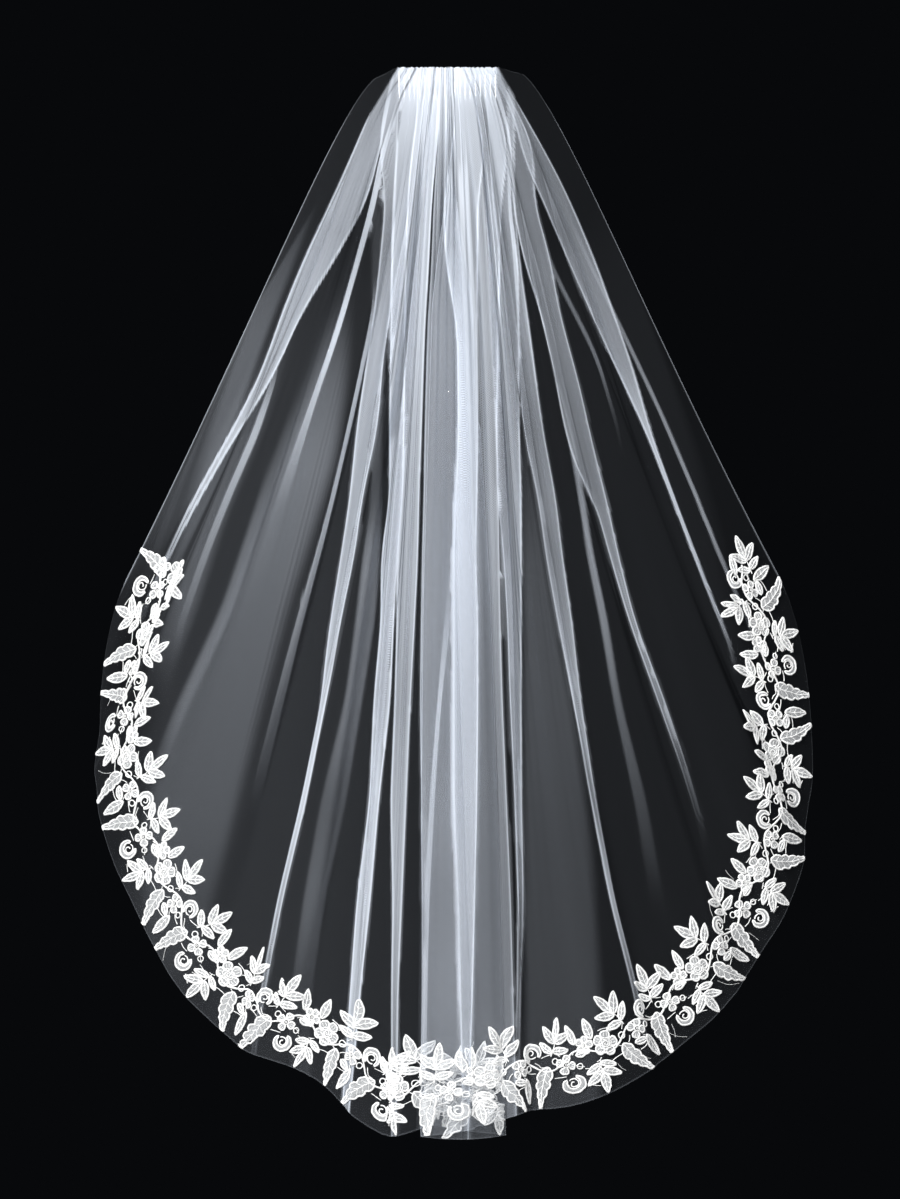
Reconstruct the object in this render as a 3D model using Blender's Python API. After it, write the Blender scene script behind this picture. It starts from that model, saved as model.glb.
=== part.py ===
"""Bridal veil: one oval-cut panel of tulle gathered onto a hair comb, with lace sprays along its hem.

Metres, +Z up. The origin is the middle of the gathered top edge, where the comb holds the veil.
-Y is the outer side of the cloth, and the hollow for the wearer's back is on the +Y side.
"""

import math

import bmesh
import bpy
import numpy as np
from mathutils import geometry

MM = 0.001
TINY = 1e-12

# The cut and how it hangs
COMB_WIDTH = 98 * MM  # the gathered top edge
VEIL_LENGTH = 1018 * MM  # from the top edge to the hem, at the middle
SIDE_LENGTH = 558 * MM  # the straight side edge, before the hem's curve starts
CUT_POWER = 1.68  # how square the rounded corners of the cut are: 2 is an ellipse, less is more pointed
WALL = 1.0 * MM  # the cloth's wall
FAN_STARTS = 10 * MM  # the pleats run straight down this far before they fan out
REFERENCE = 800 * MM  # the distance down the cloth at which the pleat table gives its places
LEFT_EDGE = -418 * MM  # where the side edges would lie 800 mm down the cloth
RIGHT_EDGE = 434 * MM
SIDE_RECEDE = 120 * MM  # how far back the sides lie where they are widest
WIDEST = 350 * MM
RECEDE_POWER = 2.1
FALL_FORWARD = 30 * MM  # how far the cloth stands out past the comb once it falls free
FALL_LENGTH = 380 * MM  # the length over which it comes forward
GATHER_DEPTH = 1.6 * MM  # half the depth of the tight gathers at the top edge
GATHER_LENGTH = 160 * MM  # the length over which they turn into pleats
TOP_LEVEL = 0.9  # the depth level of the first panel, at the left edge

TULLE_COLOUR, LACE_COLOUR, COMB_COLOUR = (0.86, 0.87, 0.88), (0.92, 0.91, 0.89), (0.83, 0.84, 0.85)

# The comb the gathered edge is sewn to, behind it
COMB_BAR = {"width": 94 * MM, "height": 6 * MM, "top": -1.5 * MM, "front": 2.45 * MM, "thick": 2.2 * MM}
TEETH = 20
TOOTH = {"length": 27 * MM, "root": 2.6 * MM, "tip": 1.2 * MM, "back": 1.5 * MM}

# The pleats, from left to right, in mm. "place" is where the pleat lies 800 mm down the cloth, and "opens"
# is the power with which the gap on its left opens on the way there. The laps are how far the cloth doubles
# over itself 200, 500 and 800 mm down and at the hem: below 0 the pleat has opened into a soft wave that
# wide. "level" is the depth of the panel that follows it, in steps: above 0 lies further back.
PLEAT_FIELDS = ("name", "place", "opens", "lap200", "lap500", "lap800", "lap_hem", "level", "level_hem")
PLEATS = (
    ("left_wing", -372, 0.42, 10, -8, -24, -34, -0.9, -0.5),
    ("left_line", -350, 1.00, 2, -3, -18, -30, -1.9, -1.0),
    ("left_soft", -296, 0.85, -6, -16, -34, -44, -0.9, -0.5),
    ("left_wide", -246, 1.20, -3, -10, -30, -40, -1.8, -1.1),
    ("left_glow", -206, 0.40, -1, -6, -22, -34, -0.5, -0.4),
    ("left_narrow", -163, 0.75, 11, 9, -8, -28, -1.9, -1.2),
    ("inner_soft", -121, 1.70, -2, -5, -16, -30, 0.3, -0.3),
    ("left_front", -79, 1.70, 11, 12, 8, -6, -0.9, -0.9),
    ("left_tuck", -49, 1.40, 9, 11, 3, -8, -1.7, -1.6),
    ("back_ripple", -12, 0.75, -2, -3, -8, -14, -0.6, -0.6),
    ("middle_wide", 12, 0.80, 38, 66, 80, 84, -3.4, -3.4),
    ("middle_bright", 22, 0.80, 10, 19, 10, 0, -5.2, -5.0),
    ("front_ripple", 42, 0.40, -2, -3, -8, -12, -4.0, -4.2),
    ("right_front", 67, 0.35, 7, 14, 4, -8, -2.6, -3.2),
    ("right_soft", 112, 1.80, -2, -7, -18, -28, -3.6, -3.8),
    ("right_narrow", 158, 1.80, 8, 11, -4, -24, -2.2, -2.8),
    ("right_line", 203, 0.80, -2, -5, -18, -32, -3.0, -3.2),
    ("right_glow", 244, 1.40, 12, 5, -14, -30, -1.6, -2.4),
    ("right_thin", 286, 0.50, -1, -8, -24, -36, -2.8, -2.8),
    ("right_wing", 339, 1.30, 12, -5, -20, -32, -0.9, -1.9),
    ("right_edge_line", 366, 1.00, 2, -3, -16, -28, -1.7, -2.2),
)
EDGE_OPENS = 0.57  # the same power for the gap between the last pleat and the right edge
MIDDLE = 11  # the pleat the others are spaced from
MIDDLE_BOW = 0.8  # the power that bends its own line
SOFT_LAP = 4  # mm: a pleat that never laps more than this is a soft one
LAP_STOPS = (0.0, 200 * MM, 500 * MM, 800 * MM, VEIL_LENGTH)
LAP_STARTS = 60 * MM  # above this the pleats are still tight gathers
LAP_GROWS = 180 * MM  # over this the cloth folds up from them to its full lap
PLEAT_SPAN = 12 * MM  # how wide a pleat's turn is where it has room
FOLD_ROOM = 4.2 * MM  # the depth between two panels below which the cloth no longer doubles over itself
# How deep one level is, in mm, at these distances down the cloth
LEVEL_STEP = ((0.0, 1.2), (100 * MM, 3.6), (200 * MM, 5.6), (500 * MM, 7.6), (VEIL_LENGTH, 9.5))
ROOM_SHARE = 0.8  # of the half panel beside it that a pleat's turn may take
EASE, EASE_FADES = 0.16, 30 * MM  # how much a turn leans past upright, gone in a wave this wide
STEEPEST = 0.3  # the least share of a step down the cloth that goes straight down
HALF_PANEL = 0.25  # the share of a column's turn that either half panel takes; the pleat has the rest
FOLD_STEPS = 6  # columns across a pleat that doubles over
SOFT_STEPS = 4  # columns across a soft one
EDGE_STEPS = 5  # columns in the flat panel at each side
EDGE_CROWDS = 1.5  # how much closer they lie toward the side edge
ROWS = (0.0, 0.022, 0.08, 0.15, 0.24, 0.37, 0.52, 0.66, 0.78, 0.87, 0.94, 1.0)  # shares of the way to the hem
LEVEL_LENGTH = 750 * MM  # the length they are shares of near the top, in every column

# The lace, in mm on the flat cut: a trim that runs along the hem, a little in from it
LACE_INSET = 42.0  # from the hem to the lace's centre line
REPEAT = 125.6
LACE_START = 10.0
LACE_CLIMB = 42.0  # how far up the straight side edges the trim starts
PATH_STEPS, CLIMB_STEPS = 1200, 40
FOLD_LINE = (500.0, 1030.0)  # the stretch of the cut's length that the lace's bends are drawn over
LACE_PIECES = (("lace_left", 0, 5), ("lace_middle", 5, 9), ("lace_right", 9, 13))
LACE_GAP = 1.15 * MM  # clear of the cloth's wall
LACE_WALL = 1.0 * MM
SEAM = 0.3
PARTING = 113.5  # where in a repeat the trim may be parted: its shapes leave that place free
VINE_WIDTH, VINE_SWING, VINE_STEP = 3.4, 6.0, 16.0
SCROLL_STEPS, SCROLL_TURN = 5, 280  # degrees a scroll turns through
PETAL = 0.28  # half the width of a petal's blunt end, as a share of a petal's turn
SMALL_FLOWER = 10.0  # the radius up to which a flower is a plain four-pointed one
SHARP = 40  # degrees: edges that turn more look sharp
BEND = 18.0  # degrees the cloth may turn between two of the lace's bends
CLOSE = 0.12  # outline points nearer than this are one
PATCH_ROUNDS = 6
SQUARE = ((-1, -1), (1, -1), (1, 1), (-1, 1))
PATCH = 0.9  # half the side of a square laid over a spot where two outlines only touch
# One repeat of the lace: where each shape starts along and across the trim (above 0 is toward the hem),
# which way it points (90 is toward the hem), how long it is (the radius, for round shapes) and how wide.
SPRIG = (
    ("flower", 20, -3, 10, 13, 4.5),
    ("leaf", 4, 1, -50, 30, 9),
    ("leaf", 3, 1, -88, 30, 9),
    ("leaf", 2, 1, -120, 27, 8),
    ("toothed", 26, 4, 60, 38, 15),
    ("scroll", 49, 5, 50, 11, 4),
    ("flower", 61, -6, 20, 9, 4.5),
    ("leaf", 81, 3, -46, 32, 8.5),
    ("leaf", 80, 3, -82, 34, 9),
    ("leaf", 79, 3, -120, 30, 8),
    ("toothed", 82, 2, 94, 38, 14),
    ("flower", 102, 5, 0, 10, 5),
    ("leaf", 119, -5, 55, 31, 8),
    ("leaf", 118, -5, 92, 34, 9),
    ("scroll", 104, -9, -100, 9, 3.8),
)

PLEAT = [dict(zip(PLEAT_FIELDS, row)) for row in PLEATS]
PLACE = [LEFT_EDGE] + [row["place"] * MM for row in PLEAT] + [RIGHT_EDGE]
LEVELS = [TOP_LEVEL] + [row["level"] for row in PLEAT]
HEM_LEVELS = [TOP_LEVEL] + [row["level_hem"] for row in PLEAT]
MEAN_LEVEL = sum(LEVELS) / len(LEVELS)
OPENS = [0.0] + [row["opens"] for row in PLEAT] + [EDGE_OPENS]


def smooth(value):
    """0 to 1 with a soft start and end."""
    held = np.clip(value, 0.0, 1.0)
    return held * held * (3 - 2 * held)


def fanned(down):
    """How far the pleats have fanned out: 0 where they leave the comb, 1 at the reference distance."""
    return np.maximum(down - FAN_STARTS, 0) / (REFERENCE - FAN_STARTS)


def line_x(index, down):
    """The x of line number index, down metres from the top edge: 0 and the last are the side edges."""
    spread = fanned(down) ** MIDDLE_BOW
    start = COMB_WIDTH * (MIDDLE / (len(PLEAT) + 1) - 0.5)
    x = start + (PLACE[MIDDLE] - start) * spread
    for k in range(MIDDLE + 1, index + 1):
        x = x + gap(k, down)
    for k in range(index + 1, MIDDLE + 1):
        x = x - gap(k, down)
    return x


def gap(index, down):
    """The space between line number index and the one on its left."""
    start = COMB_WIDTH / (len(PLEAT) + 1)
    return start + (PLACE[index] - PLACE[index - 1] - start) * fanned(down) ** OPENS[index]


def lap(index, down):
    """How far pleat number index doubles over itself."""
    row = PLEAT[index - 1]
    laps = [row["lap200"], row["lap200"], row["lap500"], row["lap800"], row["lap_hem"]]
    shared = np.interp(down, LAP_STOPS, laps) * MM
    return shared * smooth((down - LAP_STARTS) / LAP_GROWS)


def level_depth(index, down):
    """The depth of the panel after pleat number index: tight gathers at the top, pleat levels below."""
    stops, steps = zip(*LEVEL_STEP)
    falling = np.clip((down - LAP_STOPS[2]) / (VEIL_LENGTH - LAP_STOPS[2]), 0, 1)
    level = LEVELS[index] + (HEM_LEVELS[index] - LEVELS[index]) * falling
    free = (level - MEAN_LEVEL) * np.interp(down, stops, steps) * MM
    share = smooth(down / GATHER_LENGTH)
    return GATHER_DEPTH * (-1) ** index * (1 - share) + free * share


def cloth_x_depth(index, turn, down):
    """The x and the fold depth of a column. turn runs 0 to 1 across a pleat and its two half panels."""
    before, here, after = line_x(index - 1, down), line_x(index, down), line_x(index + 1, down)
    left, right = (before + here) / 2, (here + after) / 2
    left = before if index == 1 else left
    right = after if index == len(PLEAT) else right
    room = ROOM_SHARE * np.minimum(here - left, right - here)
    half = np.maximum(np.minimum(PLEAT_SPAN / 2, room), 0)
    doubled = lap(index, down)
    first, last = level_depth(index - 1, down), level_depth(index, down)
    roomy = np.clip((np.abs(last - first) - FOLD_ROOM) / FOLD_ROOM, 0, 1)
    swing = roomy * np.maximum(doubled, 0) / 2 + EASE * half * np.clip(1 + doubled / EASE_FADES, 0, 1)
    spread = np.maximum(-doubled, 0) / 2
    half = np.maximum(half, np.minimum(spread, room))
    share = np.clip((turn - HALF_PANEL) / (1 - 2 * HALF_PANEL), 0, 1)
    x = here + (2 * share - 1) * half + swing * np.sin(2 * math.pi * share)
    beside = np.clip(np.minimum(turn, 1 - turn) / HALF_PANEL, 0, 1)
    x = np.where(turn < HALF_PANEL, left + (here - half - left) * beside, x)
    x = np.where(turn > 1 - HALF_PANEL, right + (here + half - right) * beside, x)
    folded = roomy * np.clip(doubled / PLEAT_SPAN, 0, 1)
    stepped = 0.5 * smooth(smooth(2 * share)) + 0.5 * smooth(smooth(2 * share - 1))
    return x, first + (last - first) * ((1 - folded) * smooth(share) + folded * stepped)


def recede(x):
    """How far back the cloth lies to the sides."""
    return SIDE_RECEDE * (np.abs(x) / WIDEST) ** RECEDE_POWER


def cloth_point(index, turn, down):
    """The point of the cloth's middle surface, with the length down each column kept."""
    down = np.asarray(down, float)
    x, fold = cloth_x_depth(index, turn, down)
    x_top, fold_top = cloth_x_depth(index, turn, np.zeros_like(down))
    y = fold + recede(x) - FALL_FORWARD * smooth(down / FALL_LENGTH)
    aside = (x - x_top) ** 2 + (y - fold_top) ** 2
    z = -np.sqrt(np.maximum(down**2 - aside, (STEEPEST * down) ** 2))
    return np.stack([x, y, z], axis=-1)


def column_list():
    """(pleat number, turn) of each column, from the left edge to the right one."""
    columns = []
    for index in range(1, len(PLEAT) + 1):
        if index == 1:
            columns += [(1, HALF_PANEL * (k / EDGE_STEPS) ** EDGE_CROWDS) for k in range(EDGE_STEPS)]
        else:
            columns.append((index, 0.0))
        row = PLEAT[index - 1]
        steps = FOLD_STEPS if max(row["lap200"], row["lap500"]) > SOFT_LAP else SOFT_STEPS
        columns += [(index, HALF_PANEL + (1 - 2 * HALF_PANEL) * k / steps) for k in range(steps + 1)]
        if index == len(PLEAT):
            crowded = [HALF_PANEL * (1 - k / EDGE_STEPS) ** EDGE_CROWDS for k in range(1, EDGE_STEPS + 1)]
            columns += [(index, 1 - share) for share in crowded]
    return columns


def flat_places(columns, lengths):
    """Where each column lies across the flat cut, from the cloth between columns at those lengths."""
    across = [0.0]
    for (a, b), far in zip(zip(columns, columns[1:]), (lengths[1:] + lengths[:-1]) / 2):
        across.append(across[-1] + float(np.linalg.norm(cloth_point(*b, far) - cloth_point(*a, far))))
    return np.array(across) - across[-1] / 2


def column_lengths(across):
    """The length of each column down to the rounded hem of the cut."""
    share = np.abs(across) / np.abs(across).max()
    drop = np.maximum(1 - share**CUT_POWER, 0) ** (1 / CUT_POWER)
    return SIDE_LENGTH + (VEIL_LENGTH - SIDE_LENGTH) * drop


def row_places(length):
    """How far down each row crosses a column: level with its neighbours at the top, along the hem below."""
    share = np.array(ROWS)
    return share * (LEVEL_LENGTH * (1 - share) + length * share)


def cloth_grid():
    """The columns' places across the flat cut, their lengths, the points and the normals, row by row."""
    columns = column_list()
    across = flat_places(columns, np.full(len(columns), LEVEL_LENGTH))
    lengths = column_lengths(across)
    across = flat_places(columns, lengths)
    points = np.stack([cloth_point(i, t, row_places(far)) for (i, t), far in zip(columns, lengths)], axis=1)
    return across, lengths, points, grid_normals(points)


def tangents(points, axis):
    """Directions along a grid of points that halve the bend at each of them."""
    steps = np.diff(points, axis=axis)
    steps /= np.maximum(np.linalg.norm(steps, axis=2, keepdims=True), TINY)
    first, last = np.take(steps, [0], axis=axis), np.take(steps, [-1], axis=axis)
    return np.concatenate([first, steps], axis=axis) + np.concatenate([steps, last], axis=axis)


def grid_normals(points):
    """Unit normals of a grid of points, out of the cloth's outer side."""
    down, side = tangents(points, 0), tangents(points, 1)
    normals = np.cross(side, down)
    normals /= np.maximum(np.linalg.norm(normals, axis=2, keepdims=True), TINY)
    return normals * -np.sign((normals[..., 1] * side[..., 0]).sum())


def grid_wall(name, outer, inner, surface):
    """A closed wall between two grids of points. Both sides are split along the same diagonals."""
    rows, columns = outer.shape[:2]
    middle = (outer + inner) / 2
    slant = lambda r, c: np.linalg.norm(middle[r, c] - middle[r + 1, c + 1]) < np.linalg.norm(
        middle[r + 1, c] - middle[r, c + 1]
    )
    vertices = np.concatenate([outer.reshape(-1, 3), inner.reshape(-1, 3)])
    side = rows * columns
    at = lambda r, c: r * columns + c
    faces = []
    for r in range(rows - 1):
        for c in range(columns - 1):
            a, b, d, e = at(r, c), at(r + 1, c), at(r + 1, c + 1), at(r, c + 1)
            halves = ((a, b, d), (a, d, e)) if slant(r, c) else ((a, b, e), (b, d, e))
            faces += halves
            faces += [tuple(side + k for k in reversed(half)) for half in halves]
    rim = [at(0, c) for c in range(columns - 1)] + [at(r, columns - 1) for r in range(rows - 1)]
    rim += [at(rows - 1, c) for c in range(columns - 1, 0, -1)] + [at(r, 0) for r in range(rows - 1, 0, -1)]
    for a, b in zip(rim, rim[1:] + rim[:1]):
        faces.append((a, b, side + b, side + a))
    return add_mesh(name, vertices, faces, surface)


def material(name, colour, roughness):
    found = bpy.data.materials.new(name)
    found.use_nodes = True
    shader = next(node for node in found.node_tree.nodes if node.type == "BSDF_PRINCIPLED")
    shader.inputs["Base Color"].default_value = (*colour, 1.0)
    shader.inputs["Roughness"].default_value = roughness
    shader.inputs["Metallic"].default_value = 0.0
    return found


def add_mesh(name, vertices, faces, surface):
    mesh = bpy.data.meshes.new(name)
    mesh.materials.append(surface)
    mesh.from_pydata([tuple(v) for v in vertices], [], faces)
    obj = bpy.data.objects.new(name, mesh)
    bpy.context.scene.collection.objects.link(obj)
    form = bmesh.new()
    form.from_mesh(mesh)
    bmesh.ops.recalc_face_normals(form, faces=form.faces)
    form.to_mesh(mesh)
    form.free()
    mesh.shade_smooth()
    mesh.set_sharp_from_angle(angle=math.radians(SHARP))
    return obj


def hem_path():
    """Points, directions and distances along the lace's centre line on the flat cut, in mm."""
    widest = CLOTH["across"].max() / MM
    side = SIDE_LENGTH / MM
    share = np.linspace(-1, 1, PATH_STEPS)
    hem_u = widest * np.sin(0.5 * math.pi * share)
    drop = np.maximum(1 - np.abs(hem_u / widest) ** CUT_POWER, 0) ** (1 / CUT_POWER)
    hem_v = side + (VEIL_LENGTH / MM - side) * drop
    climb = np.linspace(side - LACE_CLIMB, side, CLIMB_STEPS, endpoint=False)
    edge_u = np.concatenate([np.full(len(climb), -widest), hem_u, np.full(len(climb), widest)])
    edge_v = np.concatenate([climb, hem_v, climb[::-1]])
    along = np.gradient(np.stack([edge_u, edge_v], axis=1), axis=0)
    along /= np.linalg.norm(along, axis=1, keepdims=True)
    outward = np.stack([-along[:, 1], along[:, 0]], axis=1)
    centre = np.stack([edge_u, edge_v], axis=1) - outward * LACE_INSET
    steps = np.linalg.norm(np.diff(centre, axis=0), axis=1)
    return centre, outward, np.concatenate([[0.0], np.cumsum(steps)])


def lace_to_flat(points):
    """From (along the lace, out toward the hem) in mm to the flat cut."""
    centre, outward, distance = LACE_PATH
    points = np.asarray(points, float)
    base = [np.interp(points[:, 0], distance, centre[:, k]) for k in (0, 1)]
    lean = [np.interp(points[:, 0], distance, outward[:, k]) for k in (0, 1)]
    return np.stack([base[k] + lean[k] * points[:, 1] for k in (0, 1)], axis=1)


def turned(points, s, n, angle):
    """Points turned by an angle in degrees and moved to (s, n)."""
    c, d = math.cos(math.radians(angle)), math.sin(math.radians(angle))
    return [(s + x * c - y * d, n + x * d + y * c) for x, y in points]


def leaf(s, n, angle, length, width):
    """An almond leaf from its stalk at (s, n)."""
    half = width / 2
    bulge = ((0.16, 0.6), (0.45, 1.0), (0.8, 0.62))
    form = [(-1.5, 0.0)] + [(x * length, -y * half) for x, y in bulge] + [(length, 0.0)]
    form += [(x * length, y * half) for x, y in reversed(bulge)]
    return turned(form, s, n, angle)


def toothed_leaf(s, n, angle, length, width):
    """A large pointed leaf with a notched edge and a knob at its tip."""
    half = width / 2
    form = ((-1.5, 0.0), (0.3 * length, -half), (0.6 * length, -0.8 * half), (length, -2.2), (length, 2.2),
            (0.72 * length, 0.4 * half), (0.6 * length, 0.85 * half), (0.3 * length, half))
    return turned(form, s, n, angle)


def flower(s, n, angle, length, width):
    """A flower of round petals; width is how deep the notches between them are, length its radius."""
    petals = 5 if length > SMALL_FLOWER else 4
    corners = ((-PETAL, length), (PETAL, length)) if length > SMALL_FLOWER else ((0.0, length),)
    form = []
    for k in range(petals):
        for off, far in corners + ((0.5, length - width),):
            turn = 2 * math.pi * (k + off) / petals
            form.append((far * math.cos(turn), far * math.sin(turn)))
    return turned(form, s, n, angle)


def scroll(s, n, angle, length, width):
    """An open C of a cord, length its radius."""
    turns = [math.radians(SCROLL_TURN * (k / SCROLL_STEPS - 0.5)) for k in range(SCROLL_STEPS + 1)]
    outer = [(length * math.cos(t), length * math.sin(t)) for t in turns]
    inner = [((length - width) * math.cos(t), (length - width) * math.sin(t)) for t in reversed(turns)]
    return turned(outer + inner, s, n, angle)


MOTIF = {"leaf": leaf, "toothed": toothed_leaf, "flower": flower, "scroll": scroll}


def vine(start, end):
    """The wavy stem that joins a stretch of the lace."""
    steps = max(2, round((end - start) / VINE_STEP))
    line = [start + (end - start) * k / steps for k in range(steps + 1)]
    wave = 4 * math.pi / REPEAT
    middle = [(s, VINE_SWING * math.sin(wave * (s - LACE_START))) for s in line]
    half = VINE_WIDTH / 2
    return [(s, n + half) for s, n in middle] + [(s, n - half) for s, n in reversed(middle)]


def counterclockwise(outline):
    u, v = outline[:, 0], outline[:, 1]
    area = np.sum(u * np.roll(v, -1) - np.roll(u, -1) * v)
    return outline if area > 0 else outline[::-1]


def lace_outlines(first, last):
    """The outlines of a stretch of repeats, on the flat cut, in mm, parted from the next at PARTING."""
    low = PARTING - REPEAT if first else 0.0
    high = PARTING if last < LACE_PIECES[-1][2] else REPEAT
    start, end = LACE_START + first * REPEAT + low, LACE_START + (last - 1) * REPEAT + high
    outlines = [vine(start + SEAM / 2, end - SEAM / 2)]
    for repeat in range(first - 1, last):
        for kind, s, n, angle, length, width in SPRIG:
            place = LACE_START + repeat * REPEAT + s
            if start <= place < end:
                outlines.append(MOTIF[kind](place, n, angle, length, width))
    return [counterclockwise(lace_to_flat(outline)) for outline in outlines]


def fold_columns():
    """The columns at which the lace bends: where the cloth has turned far enough since the last."""
    normals = CLOTH["normals"][-3:].mean(axis=0)
    normals /= np.linalg.norm(normals, axis=1, keepdims=True)
    kept, last = [], normals[0]
    for k in range(1, len(normals) - 1):
        if np.dot(last, normals[k + 1]) < math.cos(math.radians(BEND)):
            kept.append(k)
            last = normals[k]
    return kept


def on_cloth(flat, lift):
    """Points of the flat cut, in mm, on the hanging cloth, lifted off its middle."""
    across, lengths = CLOTH["across"] / MM, CLOTH["lengths"] / MM
    points, normals = CLOTH["points"], CLOTH["normals"]
    column = np.clip(np.interp(flat[:, 0], across, np.arange(len(across))), 0, len(across) - 1.001)
    length = np.interp(column, np.arange(len(across)), lengths)
    level = LEVEL_LENGTH / MM
    share = (-level + np.sqrt(level**2 + 4 * (length - level) * flat[:, 1])) / (2 * (length - level))
    row = np.clip(np.interp(share, ROWS, np.arange(len(ROWS))), 0, len(ROWS) - 1.001)
    r, c = row.astype(int), column.astype(int)
    fr, fc = (row - r)[:, None], (column - c)[:, None]
    blend = lambda grid: ((grid[r, c] * (1 - fc) + grid[r, c + 1] * fc) * (1 - fr)
                          + (grid[r + 1, c] * (1 - fc) + grid[r + 1, c + 1] * fc) * fr)
    out = blend(normals)
    return blend(points) + out / np.linalg.norm(out, axis=1, keepdims=True) * lift


def united(outlines):
    """The triangles that the outlines cover together, split along the folds."""
    vertices, faces = [], []
    for outline in outlines:
        faces.append(list(range(len(vertices), len(vertices) + len(outline))))
        vertices += [tuple(p) for p in outline]
    found = geometry.delaunay_2d_cdt(vertices, [], faces, 0, CLOSE)
    rim = sorted(rim_edges([face for face, inside in zip(found[2], found[5]) if inside]))
    corners = sorted({k for edge in rim for k in edge})
    place = {k: i for i, k in enumerate(corners)}
    vertices = [tuple(found[0][k]) for k in corners]
    starts = np.array([found[0][a] for a, _ in rim])
    ends = np.array([found[0][b] for _, b in rim])
    edges = [(place[a], place[b]) for a, b in rim]
    for k in FOLDS:
        u = CLOTH["across"][k] / MM
        if starts[:, 0].min() < u < starts[:, 0].max():
            edges.append((len(vertices), len(vertices) + 1))
            vertices += [(u, end) for end in FOLD_LINE]
    found = geometry.delaunay_2d_cdt(vertices, edges, [], 0, CLOSE)
    flat = np.array([tuple(v) for v in found[0]])
    middles = flat[np.array(found[2])].mean(axis=1)
    return flat, [face for face, inside in zip(found[2], covered(middles, starts, ends)) if inside]


def covered(points, starts, ends):
    """Which points lie inside the loops that the edges make."""
    u, v = points[:, 0][:, None], points[:, 1][:, None]
    over = (starts[:, 1] > v) != (ends[:, 1] > v)
    rise = np.where(ends[:, 1] == starts[:, 1], 1.0, ends[:, 1] - starts[:, 1])
    cross_u = starts[:, 0] + (v - starts[:, 1]) * (ends[:, 0] - starts[:, 0]) / rise
    return (over & (u < cross_u)).sum(axis=1) % 2 == 1


def rim_edges(triangles):
    """The edges with a triangle on one side only, in the triangles' own direction."""
    rim = set()
    for face in triangles:
        for a, b in zip(face, face[1:] + face[:1]):
            if (b, a) in rim:
                rim.remove((b, a))
            else:
                rim.add((a, b))
    return rim


def lace_piece(name, first, last, surface):
    """A stretch of the lace as one closed solid that follows the folds of the cloth."""
    outlines = lace_outlines(first, last)
    for _ in range(PATCH_ROUNDS):
        flat, triangles = united(outlines)
        rim = rim_edges(triangles)
        leaving = {}
        for a, b in rim:
            leaving[a] = leaving.get(a, 0) + 1
        pinched = [k for k, count in leaving.items() if count > 1]
        if not pinched:
            break
        for k in pinched:
            u, v = flat[k]
            outlines.append([(u + x * PATCH, v + y * PATCH) for x, y in SQUARE])
    used = sorted({k for face in triangles for k in face})
    place = {k: i for i, k in enumerate(used)}
    flat = flat[used]
    inner, outer = on_cloth(flat, LACE_GAP + WALL / 2), on_cloth(flat, LACE_GAP + WALL / 2 + LACE_WALL)
    count = len(used)
    faces = [tuple(place[k] for k in face) for face in triangles]
    faces += [tuple(count + place[k] for k in reversed(face)) for face in triangles]
    for a, b in rim:
        a, b = place[a], place[b]
        faces += [(b, a, count + a), (b, count + a, count + b)]
    return add_mesh(name, np.concatenate([outer, inner]), faces, surface)


def comb(surface):
    """A hair comb: a bar and a row of teeth, bowed like the gathered edge."""
    half, pitch = COMB_BAR["width"] / 2, (COMB_BAR["width"] - TOOTH["root"]) / (TEETH - 1)
    low = COMB_BAR["top"] - COMB_BAR["height"]
    vertices, faces = [], []
    stations = []
    for k in range(TEETH):
        middle = -half + TOOTH["root"] / 2 + pitch * k
        stations += [middle - TOOTH["root"] / 2, middle + TOOTH["root"] / 2]
    front, thick = COMB_BAR["front"], COMB_BAR["thick"]
    add = lambda x, z, thin: vertices.extend(
        (x, front + side * (thick - thin) + thin / 2 + recede(x), z) for side in (0, 1)
    )
    for x in stations:
        add(x, COMB_BAR["top"], 0)
        add(x, low, 0)
    for k in range(len(stations) - 1):
        a, b = 4 * k, 4 * k + 4
        faces += [(a, a + 2, b + 2, b), (a + 1, b + 1, b + 3, a + 3), (a, b, b + 1, a + 1)]
        if k % 2:
            faces.append((a + 2, a + 3, b + 3, b + 2))
            continue
        tip = len(vertices)
        middle = (stations[k] + stations[k + 1]) / 2
        for x in (middle - TOOTH["tip"] / 2, middle + TOOTH["tip"] / 2):
            add(x, low - TOOTH["length"], TOOTH["back"])
        c, d = tip, tip + 2
        faces += [(a + 2, c, d, b + 2), (a + 3, b + 3, d + 1, c + 1), (a + 2, a + 3, c + 1, c)]
        faces += [(b + 2, d, d + 1, b + 3), (c, c + 1, d + 1, d)]
    end = 4 * (len(stations) - 1)
    faces += [(0, 1, 3, 2), (end, end + 2, end + 3, end + 1)]
    return add_mesh("comb", vertices, faces, surface)


def main():
    for obj in list(bpy.data.objects):
        bpy.data.objects.remove(obj)
    points, normals = CLOTH["points"], CLOTH["normals"]
    tulle = material("tulle", TULLE_COLOUR, 0.8)
    lace = material("lace", LACE_COLOUR, 0.75)
    grid_wall("veil_tulle", points + normals * WALL / 2, points - normals * WALL / 2, tulle)
    comb(material("clear_plastic", COMB_COLOUR, 0.25))
    for name, first, last in LACE_PIECES:
        lace_piece(name, first, last, lace)


CLOTH = dict(zip(("across", "lengths", "points", "normals"), cloth_grid()))
LACE_PATH = hem_path()
FOLDS = fold_columns()

if __name__ == "__main__":
    main()
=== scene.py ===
import math

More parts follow.
